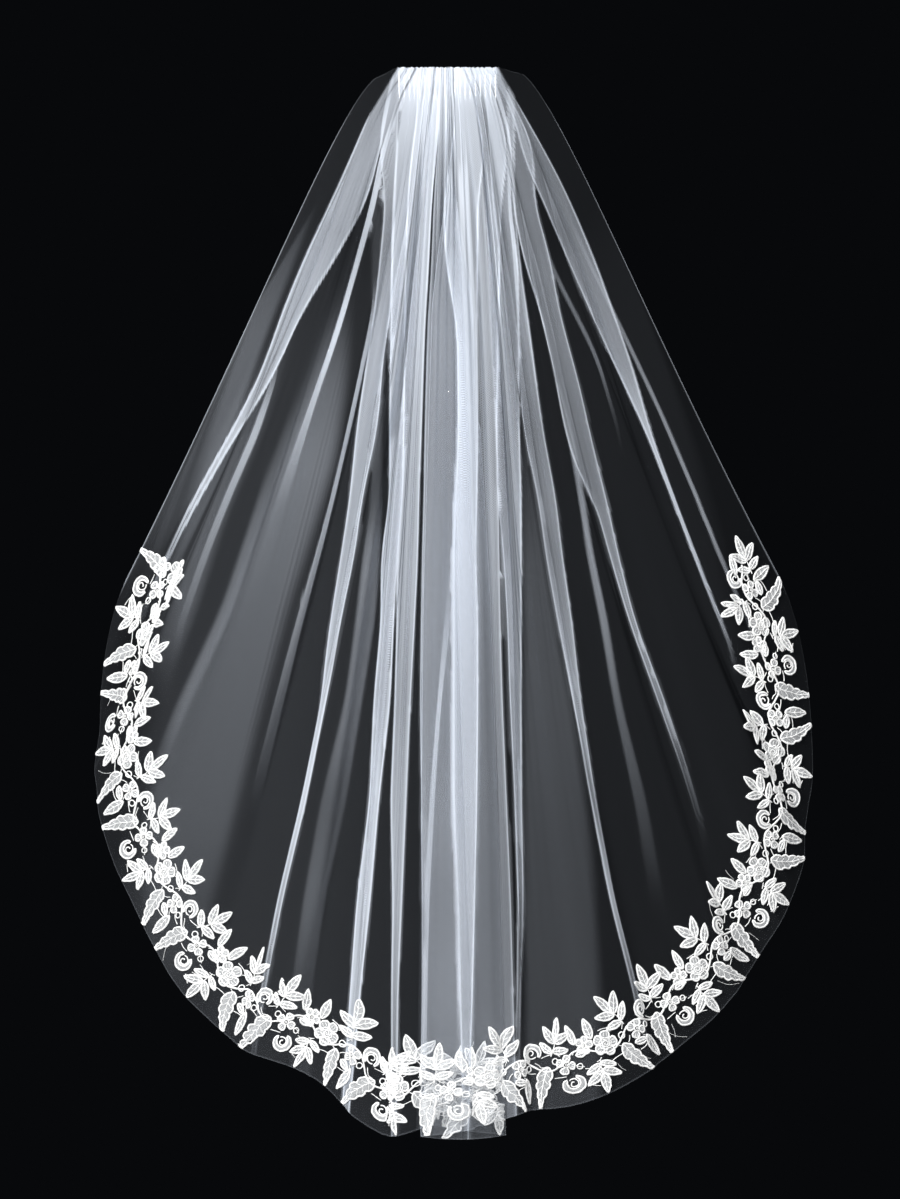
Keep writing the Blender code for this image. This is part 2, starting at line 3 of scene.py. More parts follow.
import bpy
import numpy as np
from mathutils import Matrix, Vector


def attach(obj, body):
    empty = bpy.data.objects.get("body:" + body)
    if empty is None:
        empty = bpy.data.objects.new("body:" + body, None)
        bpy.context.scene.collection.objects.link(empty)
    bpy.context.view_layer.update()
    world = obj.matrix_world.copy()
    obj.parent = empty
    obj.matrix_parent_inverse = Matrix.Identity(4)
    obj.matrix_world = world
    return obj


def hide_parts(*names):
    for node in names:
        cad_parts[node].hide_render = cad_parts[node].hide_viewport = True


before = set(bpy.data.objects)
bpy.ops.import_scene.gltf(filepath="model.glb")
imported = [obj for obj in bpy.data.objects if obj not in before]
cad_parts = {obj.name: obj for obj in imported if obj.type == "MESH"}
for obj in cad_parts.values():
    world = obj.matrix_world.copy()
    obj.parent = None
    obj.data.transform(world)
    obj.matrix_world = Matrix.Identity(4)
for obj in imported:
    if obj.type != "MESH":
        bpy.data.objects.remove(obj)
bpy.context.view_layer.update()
mm = 0.001
chance = np.random.default_rng(11)

# The tulle: one panel with rounded lower corners, gathered to the comb along its top edge. Sizes in mm.
veil = {
    "combWidth": 98.0,  # the gathered edge
    "levelsFall": 500.0,  # from here down the panels drift to their levels at the hem
    "length": 1018.0,  # down the middle
    "sideLength": 558.0,  # the straight side edges
    "cutPower": 1.68,  # how square the rounded corners are
    "fanStarts": 10.0,  # down the cloth, from where the pleats spread
    "reference": 800.0,  # the distance down at which the pleat table gives its places
    "leftEdge": -418.0,
    "rightEdge": 434.0,
    "edgeOpens": 0.57,  # how the gap beside the right edge opens, as for the pleats
    "sideRecede": 120.0,  # how far back the sides lie
    "widest": 350.0,
    "recedePower": 2.1,  # how suddenly they turn back
    "fallForward": 30.0,  # how far the cloth stands out once it falls free
    "fallLength": 380.0,
    "gatherDepth": 1.6,  # of the pleats where they leave the comb
    "gatherLength": 160.0,
    "topLevel": 0.9,  # of the panel at the left edge
    "middle": 11,  # the pleat that the others are spaced from
    "middleBow": 0.8,  # how its line opens
    "softLap": 4.0,  # a pleat that doubles over by more than this has more columns
    "lapStarts": 60.0,  # down the cloth, from where pleats double over
    "lapGrows": 180.0,
    "pleatSpan": 12.0,  # from one side of a pleat's turn to the other
    "foldRoom": 4.2,  # the least depth between two panels in which a fold fits
    "roomShare": 0.8,
    "ease": 0.16,  # how far a pleat with no fold leans, as a share of its half width
    "easeFades": 30.0,
    "steepest": 0.3,  # no part of a column drops less than this share of its length
    "halfPanel": 0.25,  # of a pleat's turn on each side is flat panel
    "foldSteps": 6,
    "softSteps": 4,
    "edgeSteps": 5,
    "edgeCrowds": 1.5,
    "level": 750.0,
    "header": 16.5,  # the cloth runs straight from the comb this far down
    "fineStep": 2.05,  # between the fine columns, which are closer where a pleat turns
    "rows": 122,
    "rowsCrowd": 1.25,  # how much closer the rows lie at the top
    "cutEdge": 1.3,  # the line along the cut edge where the net doubles back on itself
    "flatSpan": 1500.0,  # what the whole UV square measures
}
lapStops = (0.0, 200.0, 500.0, 800.0, veil["length"])
levelStops = (0.0, 100.0, 200.0, 500.0, veil["length"])
levelSteps = (1.2, 3.6, 5.6, 7.6, 9.5)
# The cut is a little fuller than its plain curve: mm across, and how much longer it is there
fuller = (
    (-651, 0), (-600, 8), (-565, 12), (-482, 10), (-457, 13), (-432, 15), (-383, 18), (-350, 18), (-304, 15),
    (-287, 9), (-271, 4), (-254, 0), (-222, 0), (-198, 14), (-176, 21), (-153, 25), (-134, 14), (-112, 0),
    (160, 0), (184, 8), (207, 14), (239, 17.5), (304, 21.5), (365, 24.5), (403, 26), (464, 28), (516, 28),
    (574, 20), (625, 6), (651, 0),
)

# Each pleat's place 800 mm down, how its gap opens, how far it doubles over (below 0: a soft wave that wide),
# and the level of the panel after it, where above 0 lies further back.
pleatFields = ("name", "place", "opens", "lap200", "lap500", "lap800", "lapHem", "level", "levelHem")
pleatRows = (
    ("leftWing", -372, 0.42, 10, -8, -24, -34, -0.9, -0.5),
    ("leftLine", -350, 1.00, 2, -3, -18, -30, -1.9, -1.0),
    ("leftSoft", -296, 0.85, -6, -16, -34, -44, -0.9, -0.5),
    ("leftWide", -246, 1.20, -3, -10, -30, -40, -1.8, -1.1),
    ("leftGlow", -206, 0.40, -1, -6, -22, -34, -0.5, -0.4),
    ("leftNarrow", -163, 0.75, 11, 9, -8, -28, -1.9, -1.2),
    ("innerSoft", -121, 1.70, -2, -5, -16, -30, 0.3, -0.3),
    ("leftFront", -79, 1.70, 11, 12, 8, -6, -0.9, -0.9),
    ("leftTuck", -49, 1.40, 9, 11, 3, -8, -1.7, -1.6),
    ("backRipple", -12, 0.75, -2, -3, -8, -14, -0.6, -0.6),
    ("middleWide", 12, 0.80, 38, 66, 80, 84, -3.4, -3.4),
    ("middleBright", 22, 0.80, 10, 19, 10, 0, -5.2, -5.0),
    ("frontRipple", 42, 0.40, -2, -3, -8, -12, -4.0, -4.2),
    ("rightFront", 67, 0.35, 7, 14, 4, -8, -2.6, -3.2),
    ("rightSoft", 112, 1.80, -2, -7, -18, -28, -3.6, -3.8),
    ("rightNarrow", 158, 1.80, 8, 11, -4, -24, -2.2, -2.8),
    ("rightLine", 203, 0.80, -2, -5, -18, -32, -3.0, -3.2),
    ("rightGlow", 244, 1.40, 12, 5, -14, -30, -1.6, -2.4),
    ("rightThin", 286, 0.50, -1, -8, -24, -36, -2.8, -2.8),
    ("rightWing", 339, 1.30, 12, -5, -20, -32, -0.9, -1.9),
    ("rightEdgeLine", 366, 1.00, 2, -3, -16, -28, -1.7, -2.2),
)
pleats = [dict(zip(pleatFields, row)) for row in pleatRows]
linePlaces = [veil["leftEdge"]] + [row["place"] for row in pleats] + [veil["rightEdge"]]
levels = [veil["topLevel"]] + [row["level"] for row in pleats]
hemLevels = [veil["topLevel"]] + [row["levelHem"] for row in pleats]
opens = [0.0] + [row["opens"] for row in pleats] + [veil["edgeOpens"]]

# The creases that show: its name, how softly it ends, how many layers more lie along its two edges, and then
# mm down, its left and right edge, and layers of net. A crisp one is a band where the net lies folded on
# itself; a soft one is a painted highlight, the glow where light falls on a broad fold, painted as more
# layers of net
creasesAndGlows = (
    ("leftWing", 0.9, 24, (
        (0, -55.1, -49.4, 14), (41, -73, -58, 14), (79, -89, -65, 17), (126, -110, -77, 17),
        (183, -137, -108, 15), (232, -157, -139, 15), (284, -175, -162, 14), (316, -190, -180, 13),
        (351, -209, -203.3, 17), (411, -243.2, -238.4, 10), (461, -267.9, -265.1, 4.2),
        (525, -296.4, -293.6, 0),
    )),
    ("leftLine", 0.9, 0, (
        (31, -46.5, -43.7, 0), (79, -63.6, -60.8, 40), (126, -72.2, -67.5, 31), (183, -87.4, -83.6, 20),
        (250, -106.4, -102.6, 29), (316, -129.2, -125.4, 13), (342, -138.7, -133, 7.6),
        (411, -163, -154, 0.6), (525, -201, -188, 0),
    )),
    ("leftWide", 0.9, 0, (
        (284, -162.4, -159.6, 0), (316, -174.8, -170, 8.8), (342, -183.3, -177.7, 13),
        (411, -213.8, -208, 6.8), (464, -234.6, -228.9, 3.5), (544, -262.2, -256.5, 0),
    )),
    # leftSoft, leftCrestHighlight, leftVeilHighlight and leftRimHighlight end softly: painted highlights,
    # more net where light falls on broad folds
    ("leftSoft", 16, 0, (
        (221, -110, -92, 0), (295, -132, -97, 2.6), (371, -162, -108, 4.0), (431, -183, -126, 3.2),
        (513, -212, -153, 2.4), (613, -258, -180, 1.9), (722, -290, -207, 1.5), (800, -290, -228, 0.8),
        (886, -285, -240, 0),
    )),
    ("leftCrestHighlight", 6, 0, (
        (380, -172, -163, 0), (431, -187, -177, 1.6), (513, -214, -203, 2.6), (613, -262, -250, 1.6),
        (690, -292, -280, 0),
    )),
    ("leftVeilHighlight", 14, 0, (
        (250, -170, -145, 0), (342, -214, -176, 1.3), (431, -250, -214, 2.0), (525, -290, -244, 1.6),
        (590, -304, -268, 0),
    )),
    ("leftRimHighlight", 8, 0, (
        (120, -140, -122, 0.6), (250, -198, -172, 2.4), (341, -233, -205, 2.2), (431, -282, -257, 1.8),
        (490, -310, -285, 0),
    )),
    ("leftThin", 0.9, 0, (
        (221, -70.3, -67.5, 0), (250, -75, -72.2, 25), (342, -95, -92.1, 20), (411, -111.1, -108.3, 19),
        (464, -125.4, -121.6, 11), (525, -143.4, -137.8, 6), (592, -161.5, -153.9, 2.5),
        (696, -188, -179, 0),
    )),
    ("leftNarrow", 0.9, 22, (
        (0, -50, -42, 26), (41, -61, -48, 20), (79, -65, -49, 23), (126, -59, -50, 12),
        (183, -64, -53, 13), (236, -70, -54.5, 13), (262, -74, -60.5, 13), (342, -86, -67, 13),
        (411, -93, -82, 13), (464, -101, -89, 13), (525, -111, -102, 15), (563, -115.9, -108.3, 17),
        (601, -119.7, -115.9, 26), (696, -138.7, -134.9, 23), (791, -161.5, -157.7, 10),
        (872, -176.7, -172.9, 2.3), (943, -188.1, -184.3, 0),
    )),
    # leftGlow ends softly: a painted highlight, more net where light falls on a broad fold
    ("leftGlow", 5, 0, (
        (411, -72, -63, 1.2), (464, -80, -65, 6), (525, -87, -70, 4.9), (601, -97, -82, 4.6),
        (696, -120, -97, 1.9), (791, -137, -118, 2.5), (886, -150, -131, 0.6),
    )),
    ("leftFront", 0.9, 28, (
        (0, -43, -30, 34), (41, -46, -28, 43), (79, -48, -34, 27), (126, -52, -38, 26),
        (183, -53, -40, 27), (250, -54, -41, 25), (342, -55, -42, 20), (411, -55, -43, 20),
        (464, -63, -48, 20), (525, -63, -52, 20), (601, -70, -55, 17), (696, -74, -66, 25),
        (791, -86, -74, 21), (872, -92, -83, 20), (943, -96.9, -89.3, 14), (996, -100.7, -95, 8.1),
    )),
    ("leftTuck", 0.9, 22, (
        (0, -31, -15, 46), (41, -28, -8, 57), (79, -34, -11, 41), (126, -38, -16, 31), (183, -40, -18.5, 27),
        (250, -41, -22.5, 22), (342, -42, -25.5, 15), (411, -43, -28, 13), (464, -48, -29, 13),
        (525, -48, -32, 12), (601, -50, -36, 10), (696, -54, -40, 13), (791, -52, -44, 14),
        (872, -53.2, -47.5, 10), (943, -53.2, -48.4, 6.3), (1010, -53.2, -49.4, 3),
    )),
    ("middleWide", 0.9, 12, (
        (0, -16, -1, 39), (41, -8, 8, 36), (79, -9.5, 4, 20), (126, -13, -4, 13), (183, -15, -2, 9),
        (250, -19, 9, 11), (342, -21.5, 10, 10), (411, -22.5, 8, 10), (464, -24, 6, 10), (525, -25, 6, 10),
        (601, -26, 6, 9), (696, -25, 6, 10), (791, -24, 10, 7.7), (872, -24, 12, 8.5), (943, -25, 13, 7),
        (1014, -26, 13, 4.9),
    )),
    ("middleLine", 0.9, 0, (
        (468, 1.9, 4.8, 0), (525, -2.8, 1.9, 4.9), (601, -9.5, -6.6, 19), (696, -17.1, -13.3, 12),
        (791, -21.8, -18.1, 15), (872, -23.8, -19.9, 11), (943, -23.8, -20.9, 6.8),
        (1014, -24.7, -22.8, 3.2),
    )),
    ("middleBright", 0.9, 18, (
        (0, -3, 18, 39), (41, 8, 27, 38), (79, 4, 35, 32), (126, -4, 28, 27), (183, -2, 28, 27),
        (250, 9, 27, 41), (342, 10, 28, 45), (411, 7, 27, 39), (464, 5, 26, 37), (525, 4, 28, 32),
        (601, 5, 28, 25), (696, 5, 27, 24), (791, 8, 25, 20), (872, 11, 23, 16), (943, 13.3, 20.9, 13),
        (1014, 15.2, 19, 6.3),
    )),
    ("middleRight", 0.9, 20, (
        (0, 16, 33, 26), (41, 27, 49, 21), (79, 35, 57, 15), (126, 28, 50, 20), (183, 28, 49, 17),
        (250, 27, 47, 16), (342, 28, 46, 13), (411, 27, 47, 13), (464, 26, 48, 12), (525, 28, 49, 9),
        (601, 28, 51, 7.4), (696, 27, 55, 6.6), (791, 25, 59, 5.6), (872, 23, 61, 5.6), (943, 21, 63, 5.6),
        (1016, 19, 65, 4.2),
    )),
    ("rightFront", 0.9, 18, (
        (0, 31, 40, 20), (41, 38, 54, 14), (79, 40, 61, 15), (126, 42, 58, 14), (183, 49, 66, 14),
        (250, 48, 67, 10), (342, 46, 67, 9), (411, 47.5, 69, 10), (464, 53, 69, 9), (525, 56.5, 69, 9),
        (601, 59, 69, 9), (696, 63.6, 69.3, 8.5), (791, 66.5, 71.2, 6.3), (880, 65.5, 68.4, 3.6),
        (972, 63.6, 66.5, 0),
    )),
    ("rightTuck", 0.9, 14, (
        (126, 57, 62.7, 9), (183, 62.7, 67.5, 8.5), (250, 67, 77, 10), (297, 69, 83, 7.7),
        (342, 71, 89, 5.9), (411, 86, 102, 7.4), (464, 93, 108, 6.6), (525, 104, 117, 9),
        (601, 118.8, 125.4, 14), (696, 135.8, 139.7, 12), (791, 153.9, 157.7, 15),
        (861, 171.9, 175.8, 5.6), (924, 186.2, 190, 0),
    )),
    ("rightNarrow", 0.9, 18, (
        (0, 36, 44, 14), (41, 52, 65, 9), (79, 61, 82, 7.7), (126, 61, 81, 8.5), (183, 72, 97, 7.7),
        (226, 86, 104, 6.3), (250, 92, 110, 6.3), (305, 104, 125, 5.6), (342, 110, 133, 5.6),
        (388, 124, 144, 5.6), (411, 139, 150, 6.3), (464, 153.9, 161.5, 7), (525, 171.9, 176.7, 7.7),
        (601, 199.5, 205.2, 5.6), (668, 223.2, 228, 1.1), (734, 243.2, 247, 0),
    )),
    # rightSoft and rightGlow end softly: painted highlights, more net where light falls on broad folds
    ("rightSoft", 3, 0, (
        (316, 106.4, 112.1, 0), (354, 114, 119.7, 3.9), (411, 124.4, 129.2, 8.4), (464, 132, 137.8, 7.6),
        (525, 144.4, 151, 6.8), (601, 156.8, 163.4, 2.9), (696, 177, 188, 1.2), (791, 192, 205, 0),
    )),
    ("rightGlow", 14, 0, (
        (335, 68, 87, 0), (468, 72, 92, 1.6), (601, 72, 118, 1.6), (744, 72, 135, 1.2),
        (886, 72, 144, 1.1), (981, 68, 144, 0.9),
    )),
    ("rightThin", 0.9, 0, (
        (164, 88.3, 90.2, 0), (193, 98.8, 100.7, 4.6), (250, 127.3, 129.2, 3.9), (271, 138.7, 140.6, 5.3),
        (316, 152, 153.9, 1.2), (354, 163.4, 165.3, 0),
    )),
    ("rightWing", 0.9, 16, (
        (0, 39, 45.5, 10), (41, 62, 69.5, 8.1), (86, 72, 95, 7), (126, 90, 115, 7.7),
        (183, 114, 139, 7), (251, 144, 163, 7.7), (292, 163, 177, 8.5), (347, 189, 191.9, 17),
        (411, 213.8, 215.6, 10), (494, 246, 247.9, 6.3), (563, 273.6, 275.5, 0),
    )),
    ("rightEdgeLine", 0.9, 0, (
        (126, 106.4, 108.3, 0), (183, 132, 133.9, 3.2), (250, 164.3, 166.2, 5.3), (324, 199.5, 201.4, 7.6),
        (392, 228.9, 230.8, 8.8), (467, 259.3, 261.2, 8.8), (504, 275.5, 277.4, 4.9),
        (563, 300.2, 302.1, 0),
    )),
)
# How the creases are drawn, in mm and layers
crease = {
    "soft": 2.0,  # a crease that ends more softly than this has no crisp edges, and is a painted highlight rather than a fold
    "shown": 0.3,  # thinner than this, an edge has no columns of its own
    "guard": 0.9,  # from a crisp edge to the next column on each side
    "run": 0.3,  # over which a crisp edge fades
    "lineWidth": 0.7,
    "lineFull": 8.0,  # layers at which the lines along the edges are whole
    "lineStarts": 12.0,  # down the cloth
    "lineGrows": 50.0,
    "easeDown": (-20, -10, 0, 10, 20),
    "easeRows": 6,
    "shallow": 0.12,  # the least share of the net that faces the front, and the power it counts with
    "facingPower": 0.8,
    "plainAt": (-150, -40, 40),  # the net beside the creases, left to right, and its layers, fewer toward the right: painted shade for the light that comes from the left
    "plain": (0.8, 0.55, 0.35),
}
# Where the gathers lie thickest, under the comb; the shoulder is half the width that the bunched net keeps to
bulk = {
    "stops": (0, 10, 22, 45), "layers": (60, 45, 12, 0), "left": -47, "right": 45, "soft": 8,
    "shoulder": 48.5, "shoulderSlope": 0.6, "shoulderSoft": 3.0,
}
# The bright line of the cut edge: layers along the side edges, from left to right, and on the hem
cutLine = {"hem": 2.0, "sides": (8, 2.5, 4), "starts": 40.0, "grows": 60.0}


def smooth(value):
    held = np.clip(value, 0.0, 1.0)
    return held * held * (3 - 2 * held)


def fanned(down):
    return np.maximum(down - veil["fanStarts"], 0) / (veil["reference"] - veil["fanStarts"])


def gapAt(index, down):  # between line number index and the one on its left
    start = veil["combWidth"] / (len(pleats) + 1)
    return start + (linePlaces[index] - linePlaces[index - 1] - start) * fanned(down) ** opens[index]


def lineX(index, down):  # lines are the pleats, with the side edges as the first and last
    start = veil["combWidth"] * (veil["middle"] / (len(pleats) + 1) - 0.5)
    x = start + (linePlaces[veil["middle"]] - start) * fanned(down) ** veil["middleBow"]
    for k in range(veil["middle"] + 1, index + 1):
        x = x + gapAt(k, down)
    for k in range(index + 1, veil["middle"] + 1):
        x = x - gapAt(k, down)
    return x


def lapAt(index, down):
    row = pleats[index - 1]
    laps = [row["lap200"], row["lap200"], row["lap500"], row["lap800"], row["lapHem"]]
    return np.interp(down, lapStops, laps) * smooth((down - veil["lapStarts"]) / veil["lapGrows"])


def levelDepth(index, down):
    falling = np.clip((down - veil["levelsFall"]) / (veil["length"] - veil["levelsFall"]), 0, 1)
    level = levels[index] + (hemLevels[index] - levels[index]) * falling
    free = (level - sum(levels) / len(levels)) * np.interp(down, levelStops, levelSteps)
    share = smooth(down / veil["gatherLength"])
    return veil["gatherDepth"] * (-1) ** index * (1 - share) + free * share


# turn runs 0 to 1 across a pleat and its two half panels; folded 0 gives where it would lie drawn out
def clothXDepth(index, turn, down, folded=1.0):
    before, here, after = lineX(index - 1, down), lineX(index, down), lineX(index + 1, down)
    left = before if index == 1 else (before + here) / 2
    right = after if index == len(pleats) else (here + after) / 2
    room = veil["roomShare"] * np.minimum(here - left, right - here)
    half = np.maximum(np.minimum(veil["pleatSpan"] / 2, room), 0)
    doubled = lapAt(index, down)
    first, last = levelDepth(index - 1, down), levelDepth(index, down)
    roomy = np.clip((np.abs(last - first) - veil["foldRoom"]) / veil["foldRoom"], 0, 1)
    lean = veil["ease"] * half * np.clip(1 + doubled / veil["easeFades"], 0, 1)
    swing = (roomy * np.maximum(doubled, 0) / 2 + lean) * folded
    half = np.maximum(half, np.minimum(np.maximum(-doubled, 0) / 2, room))
    panel = veil["halfPanel"]
    share = np.clip((turn - panel) / (1 - 2 * panel), 0, 1)
    x = here + (2 * share - 1) * half + swing * np.sin(2 * math.pi * share)
    beside = np.clip(np.minimum(turn, 1 - turn) / panel, 0, 1)
    x = np.where(turn < panel, left + (here - half - left) * beside, x)
    x = np.where(turn > 1 - panel, right + (here + half - right) * beside, x)
    laid = roomy * np.clip(doubled / veil["pleatSpan"], 0, 1)
    stepped = 0.5 * smooth(smooth(2 * share)) + 0.5 * smooth(smooth(2 * share - 1))
    return x, first + (last - first) * ((1 - laid) * smooth(share) + laid * stepped)


def recede(x):
    return veil["sideRecede"] * (np.abs(x) / veil["widest"]) ** veil["recedePower"]


def fallenPoint(index, turn, down):  # the length down each column is kept
    x, fold = clothXDepth(index, turn, down)
    topX, topFold = clothXDepth(index, turn, np.zeros_like(down))
    y = fold + recede(x) - veil["fallForward"] * smooth(down / veil["fallLength"])
    aside = (x - topX) ** 2 + (y - topFold) ** 2
    z = -np.sqrt(np.maximum(down**2 - aside, (veil["steepest"] * down) ** 2))
    return np.stack([x, y, z], axis=-1)


def clothPoint(index, turn, down):
    down = np.asarray(down, float)
    share = np.clip(down / veil["header"], 0, 1)[..., None]
    top = fallenPoint(index, turn, np.zeros_like(down))
    return top + (fallenPoint(index, turn, np.maximum(down, veil["header"])) - top) * share


def coarseColumns():
    columns = []
    panel, edge = veil["halfPanel"], veil["edgeSteps"]
    for index in range(1, len(pleats) + 1):
        if index == 1:
            columns += [(1, panel * (k / edge) ** veil["edgeCrowds"]) for k in range(edge)]
        else:
            columns.append((index, 0.0))
        row = pleats[index - 1]
        folds = max(row["lap200"], row["lap500"]) > veil["softLap"]
        steps = veil["foldSteps"] if folds else veil["softSteps"]
        columns += [(index, panel + (1 - 2 * panel) * k / steps) for k in range(steps + 1)]
    columns += [(index, 1 - panel * (1 - k / edge) ** veil["edgeCrowds"]) for k in range(1, edge + 1)]
    return columns


def flatPlaces(columns, lengths):
    across = [0.0]
    for (a, b), far in zip(zip(columns, columns[1:]), (lengths[1:] + lengths[:-1]) / 2):
        across.append(across[-1] + float(np.linalg.norm(clothPoint(*b, far) - clothPoint(*a, far))))
    return np.array(across) - across[-1] / 2


def cutLengths(across, widest):
    drop = np.maximum(1 - (np.abs(across) / widest) ** veil["cutPower"], 0) ** (1 / veil["cutPower"])
    return veil["sideLength"] + (veil["length"] - veil["sideLength"]) * drop


def fullerLengths(across):
    stops, longer = np.array(fuller, float).T
    more = sum(np.interp(across + aside, stops, longer) for aside in (-9, 0, 9)) / 3
    return cutLengths(across, halfWidth) + more


def rowPlaces(shares, length):
    return shares * (veil["level"] * (1 - shares) + length * shares)


def fineColumns(columns, across):
    fine, places = [], []
    for k in range(len(columns) - 1):
        (index, turn), (nextIndex, nextTurn) = columns[k], columns[k + 1]
        nextTurn = nextTurn if nextIndex == index else 1.0
        turning = veil["halfPanel"] <= turn < 1 - veil["halfPanel"]
        splits = max(3 if turning else 1, round((across[k + 1] - across[k]) / veil["fineStep"]))
        for part in np.arange(splits) / splits:
            fine.append((index, turn + (nextTurn - turn) * part))
            places.append(across[k] + (across[k + 1] - across[k]) * part)
    fine.append(columns[-1])
    places.append(across[-1])
    return fine, np.array(places)


coarse = coarseColumns()
coarseAcross = flatPlaces(coarse, np.full(len(coarse), veil["level"]))
coarseLengths = cutLengths(coarseAcross, np.abs(coarseAcross).max())
coarseAcross = flatPlaces(coarse, coarseLengths)
halfWidth = np.abs(coarseAcross).max()
columns, across = fineColumns(coarse, coarseAcross)
lengths = fullerLengths(across)
shares = (np.arange(veil["rows"] + 1) / veil["rows"]) ** veil["rowsCrowd"]
shares = np.insert(shares, -1, 1 - veil["cutEdge"] / lengths.mean())
down = np.stack([rowPlaces(shares, far) for far in lengths], axis=1)
points = np.stack([clothPoint(i, t, down[:, c]) for c, (i, t) in enumerate(columns)], axis=1)
print("cloth grid", points.shape, "cut", round(2 * halfWidth), "by", veil["length"])

# The fine gathers that run down from the comb: each a low ridge of bunched net that fades out on its way
gathers = {
    "count": 260,
    "width": (0.7, 2.4),  # mm across, where it starts
    "rise": (0.1, 1.1),  # mm out of the cloth
    "tallest": 3.0,  # however many lie together
    "bunch": (0.1, 0.7),  # how much closer the net lies along it, as a share
    "limits": (0.6, 1.9),
    "fades": (90, 520),  # mm down the cloth
    "scallops": 26,  # small loops along the top edge
    "scallopRise": 0.9,
    "loopDepth": 1.3,
    "loopFades": 60.0,
    "crowd": 0.3,  # how close to the middle they start, as a share of the half width, and the farthest
    "farthest": 0.9,
    "fadePower": 2.4,  # more of them are short
    "sideFade": 0.6,  # and shorter toward the sides
    "riseStops": (0, 60, 260),
    "riseShares": (0.12, 0.4, 1.0),
    "scallopFades": 4.0,
    "ripples": 88,  # small folds side by side across the whole width
    "wander": 0.8,  # how far their spacing strays, and every how many mm
    "wanderLength": 31.0,
    "rippleStops": (0, 40, 110, 220, 380, 560, 1018),
    "rippleDepths": (0.3, 1.1, 4.4, 7.6, 7.8, 7.0, 2.6),
    # from the left edge to the right one
    "rippleShares": (0.15, 0.35, 0.3, 0.3, 0.3, 0.3, 0.5, 0.75, 0.75, 0.75, 0.5, 0.3, 0.3, 0.3, 0.35, 0.15),
}


def spread(low, high, count, power=1.0):
    return low + (high - low) * chance.random(count) ** power


def neighbourSteps(grid):
    steps = np.linalg.norm(np.diff(grid, axis=1), axis=2)
    return np.concatenate([steps[:, :1], (steps[:, :-1] + steps[:, 1:]) / 2, steps[:, -1:]], axis=1)


smoothForm = points.copy()
flatSteps = np.gradient(across)
folded = np.clip(neighbourSteps(points) / flatSteps, 0.03, 1.0)
bunch = np.zeros_like(down)
rise = np.zeros_like(down)
count = gathers["count"]
starts = chance.normal(0, gathers["crowd"], count)
starts = np.clip(starts, -gathers["farthest"], gathers["farthest"]) * halfWidth
widths = spread(*gathers["width"], count)
rises = spread(*gathers["rise"], count)
bunches = spread(*gathers["bunch"], count)
fades = spread(*gathers["fades"], count, gathers["fadePower"])
fades *= 1 - gathers["sideFade"] * np.abs(starts) / halfWidth
for start, wide, high, thick, far in zip(starts, widths, rises, bunches, fades):
    ridge = np.exp(-(((across - start) * folded / wide) ** 2)) * np.exp(-((down / far) ** 2))
    bunch += thick * ridge
    rise += high * ridge
top = np.linspace(-0.5, 0.5, len(across)) * 2 * math.pi * gathers["scallops"] / 2
rise = gathers["tallest"] * (1 - np.exp(-rise / gathers["tallest"]))
rise *= np.interp(down, gathers["riseStops"], gathers["riseShares"])
points[..., 1] -= rise
points[..., 1] -= gathers["loopDepth"] * (1 + np.sin(2 * top)) / 2 * np.exp(-down / gathers["loopFades"])
points[..., 2] -= gathers["scallopRise"] * (1 - np.abs(np.sin(top))) * np.exp(-down / gathers["scallopFades"])
wander = gathers["wander"] * np.sin(across / gathers["wanderLength"])
ripple = np.sin(2 * math.pi * gathers["ripples"] * (across / (2 * halfWidth)) + wander)
spots = np.linspace(-halfWidth, halfWidth, len(gathers["rippleShares"]))
ripple = (1 + ripple) / 2 * np.interp(across, spots, gathers["rippleShares"])
points[..., 1] -= np.interp(down, gathers["rippleStops"], gathers["rippleDepths"]) * ripple


def outward(grid):
    def bisect(axis):
        steps = np.diff(grid, axis=axis)
        steps /= np.maximum(np.linalg.norm(steps, axis=2, keepdims=True), 1e-9)
        first, last = np.take(steps, [0], axis=axis), np.take(steps, [-1], axis=axis)
        return np.concatenate([first, steps], axis=axis) + np.concatenate([steps, last], axis=axis)

    normals = np.cross(bisect(0), bisect(1))
    return normals / np.maximum(np.linalg.norm(normals, axis=2, keepdims=True), 1e-9)


# The net scatters light every way, so its shading follows the pleats more than the small gathers, and all of
# it is evened toward the front, most of all near the comb
shading = {
    "pleats": 0.75, "least": 0.12, "stops": (0, 40, 120, 300, 700), "evened": (5.0, 3.5, 1.5, 0.8, 0.4),
}
normals = outward(smoothForm) * shading["pleats"] + outward(points) * (1 - shading["pleats"])
evened = np.interp(down, shading["stops"], shading["evened"])
normals[..., 1] *= 1 + evened / (np.abs(normals[..., 1]) + shading["least"])
normals /= np.linalg.norm(normals, axis=2, keepdims=True)


def edgeAt(low, stops, values):  # between the stops, with the corners eased
    total = sum(np.interp(low + aside, stops, values) for aside in crease["easeDown"])
    return total / len(crease["easeDown"])


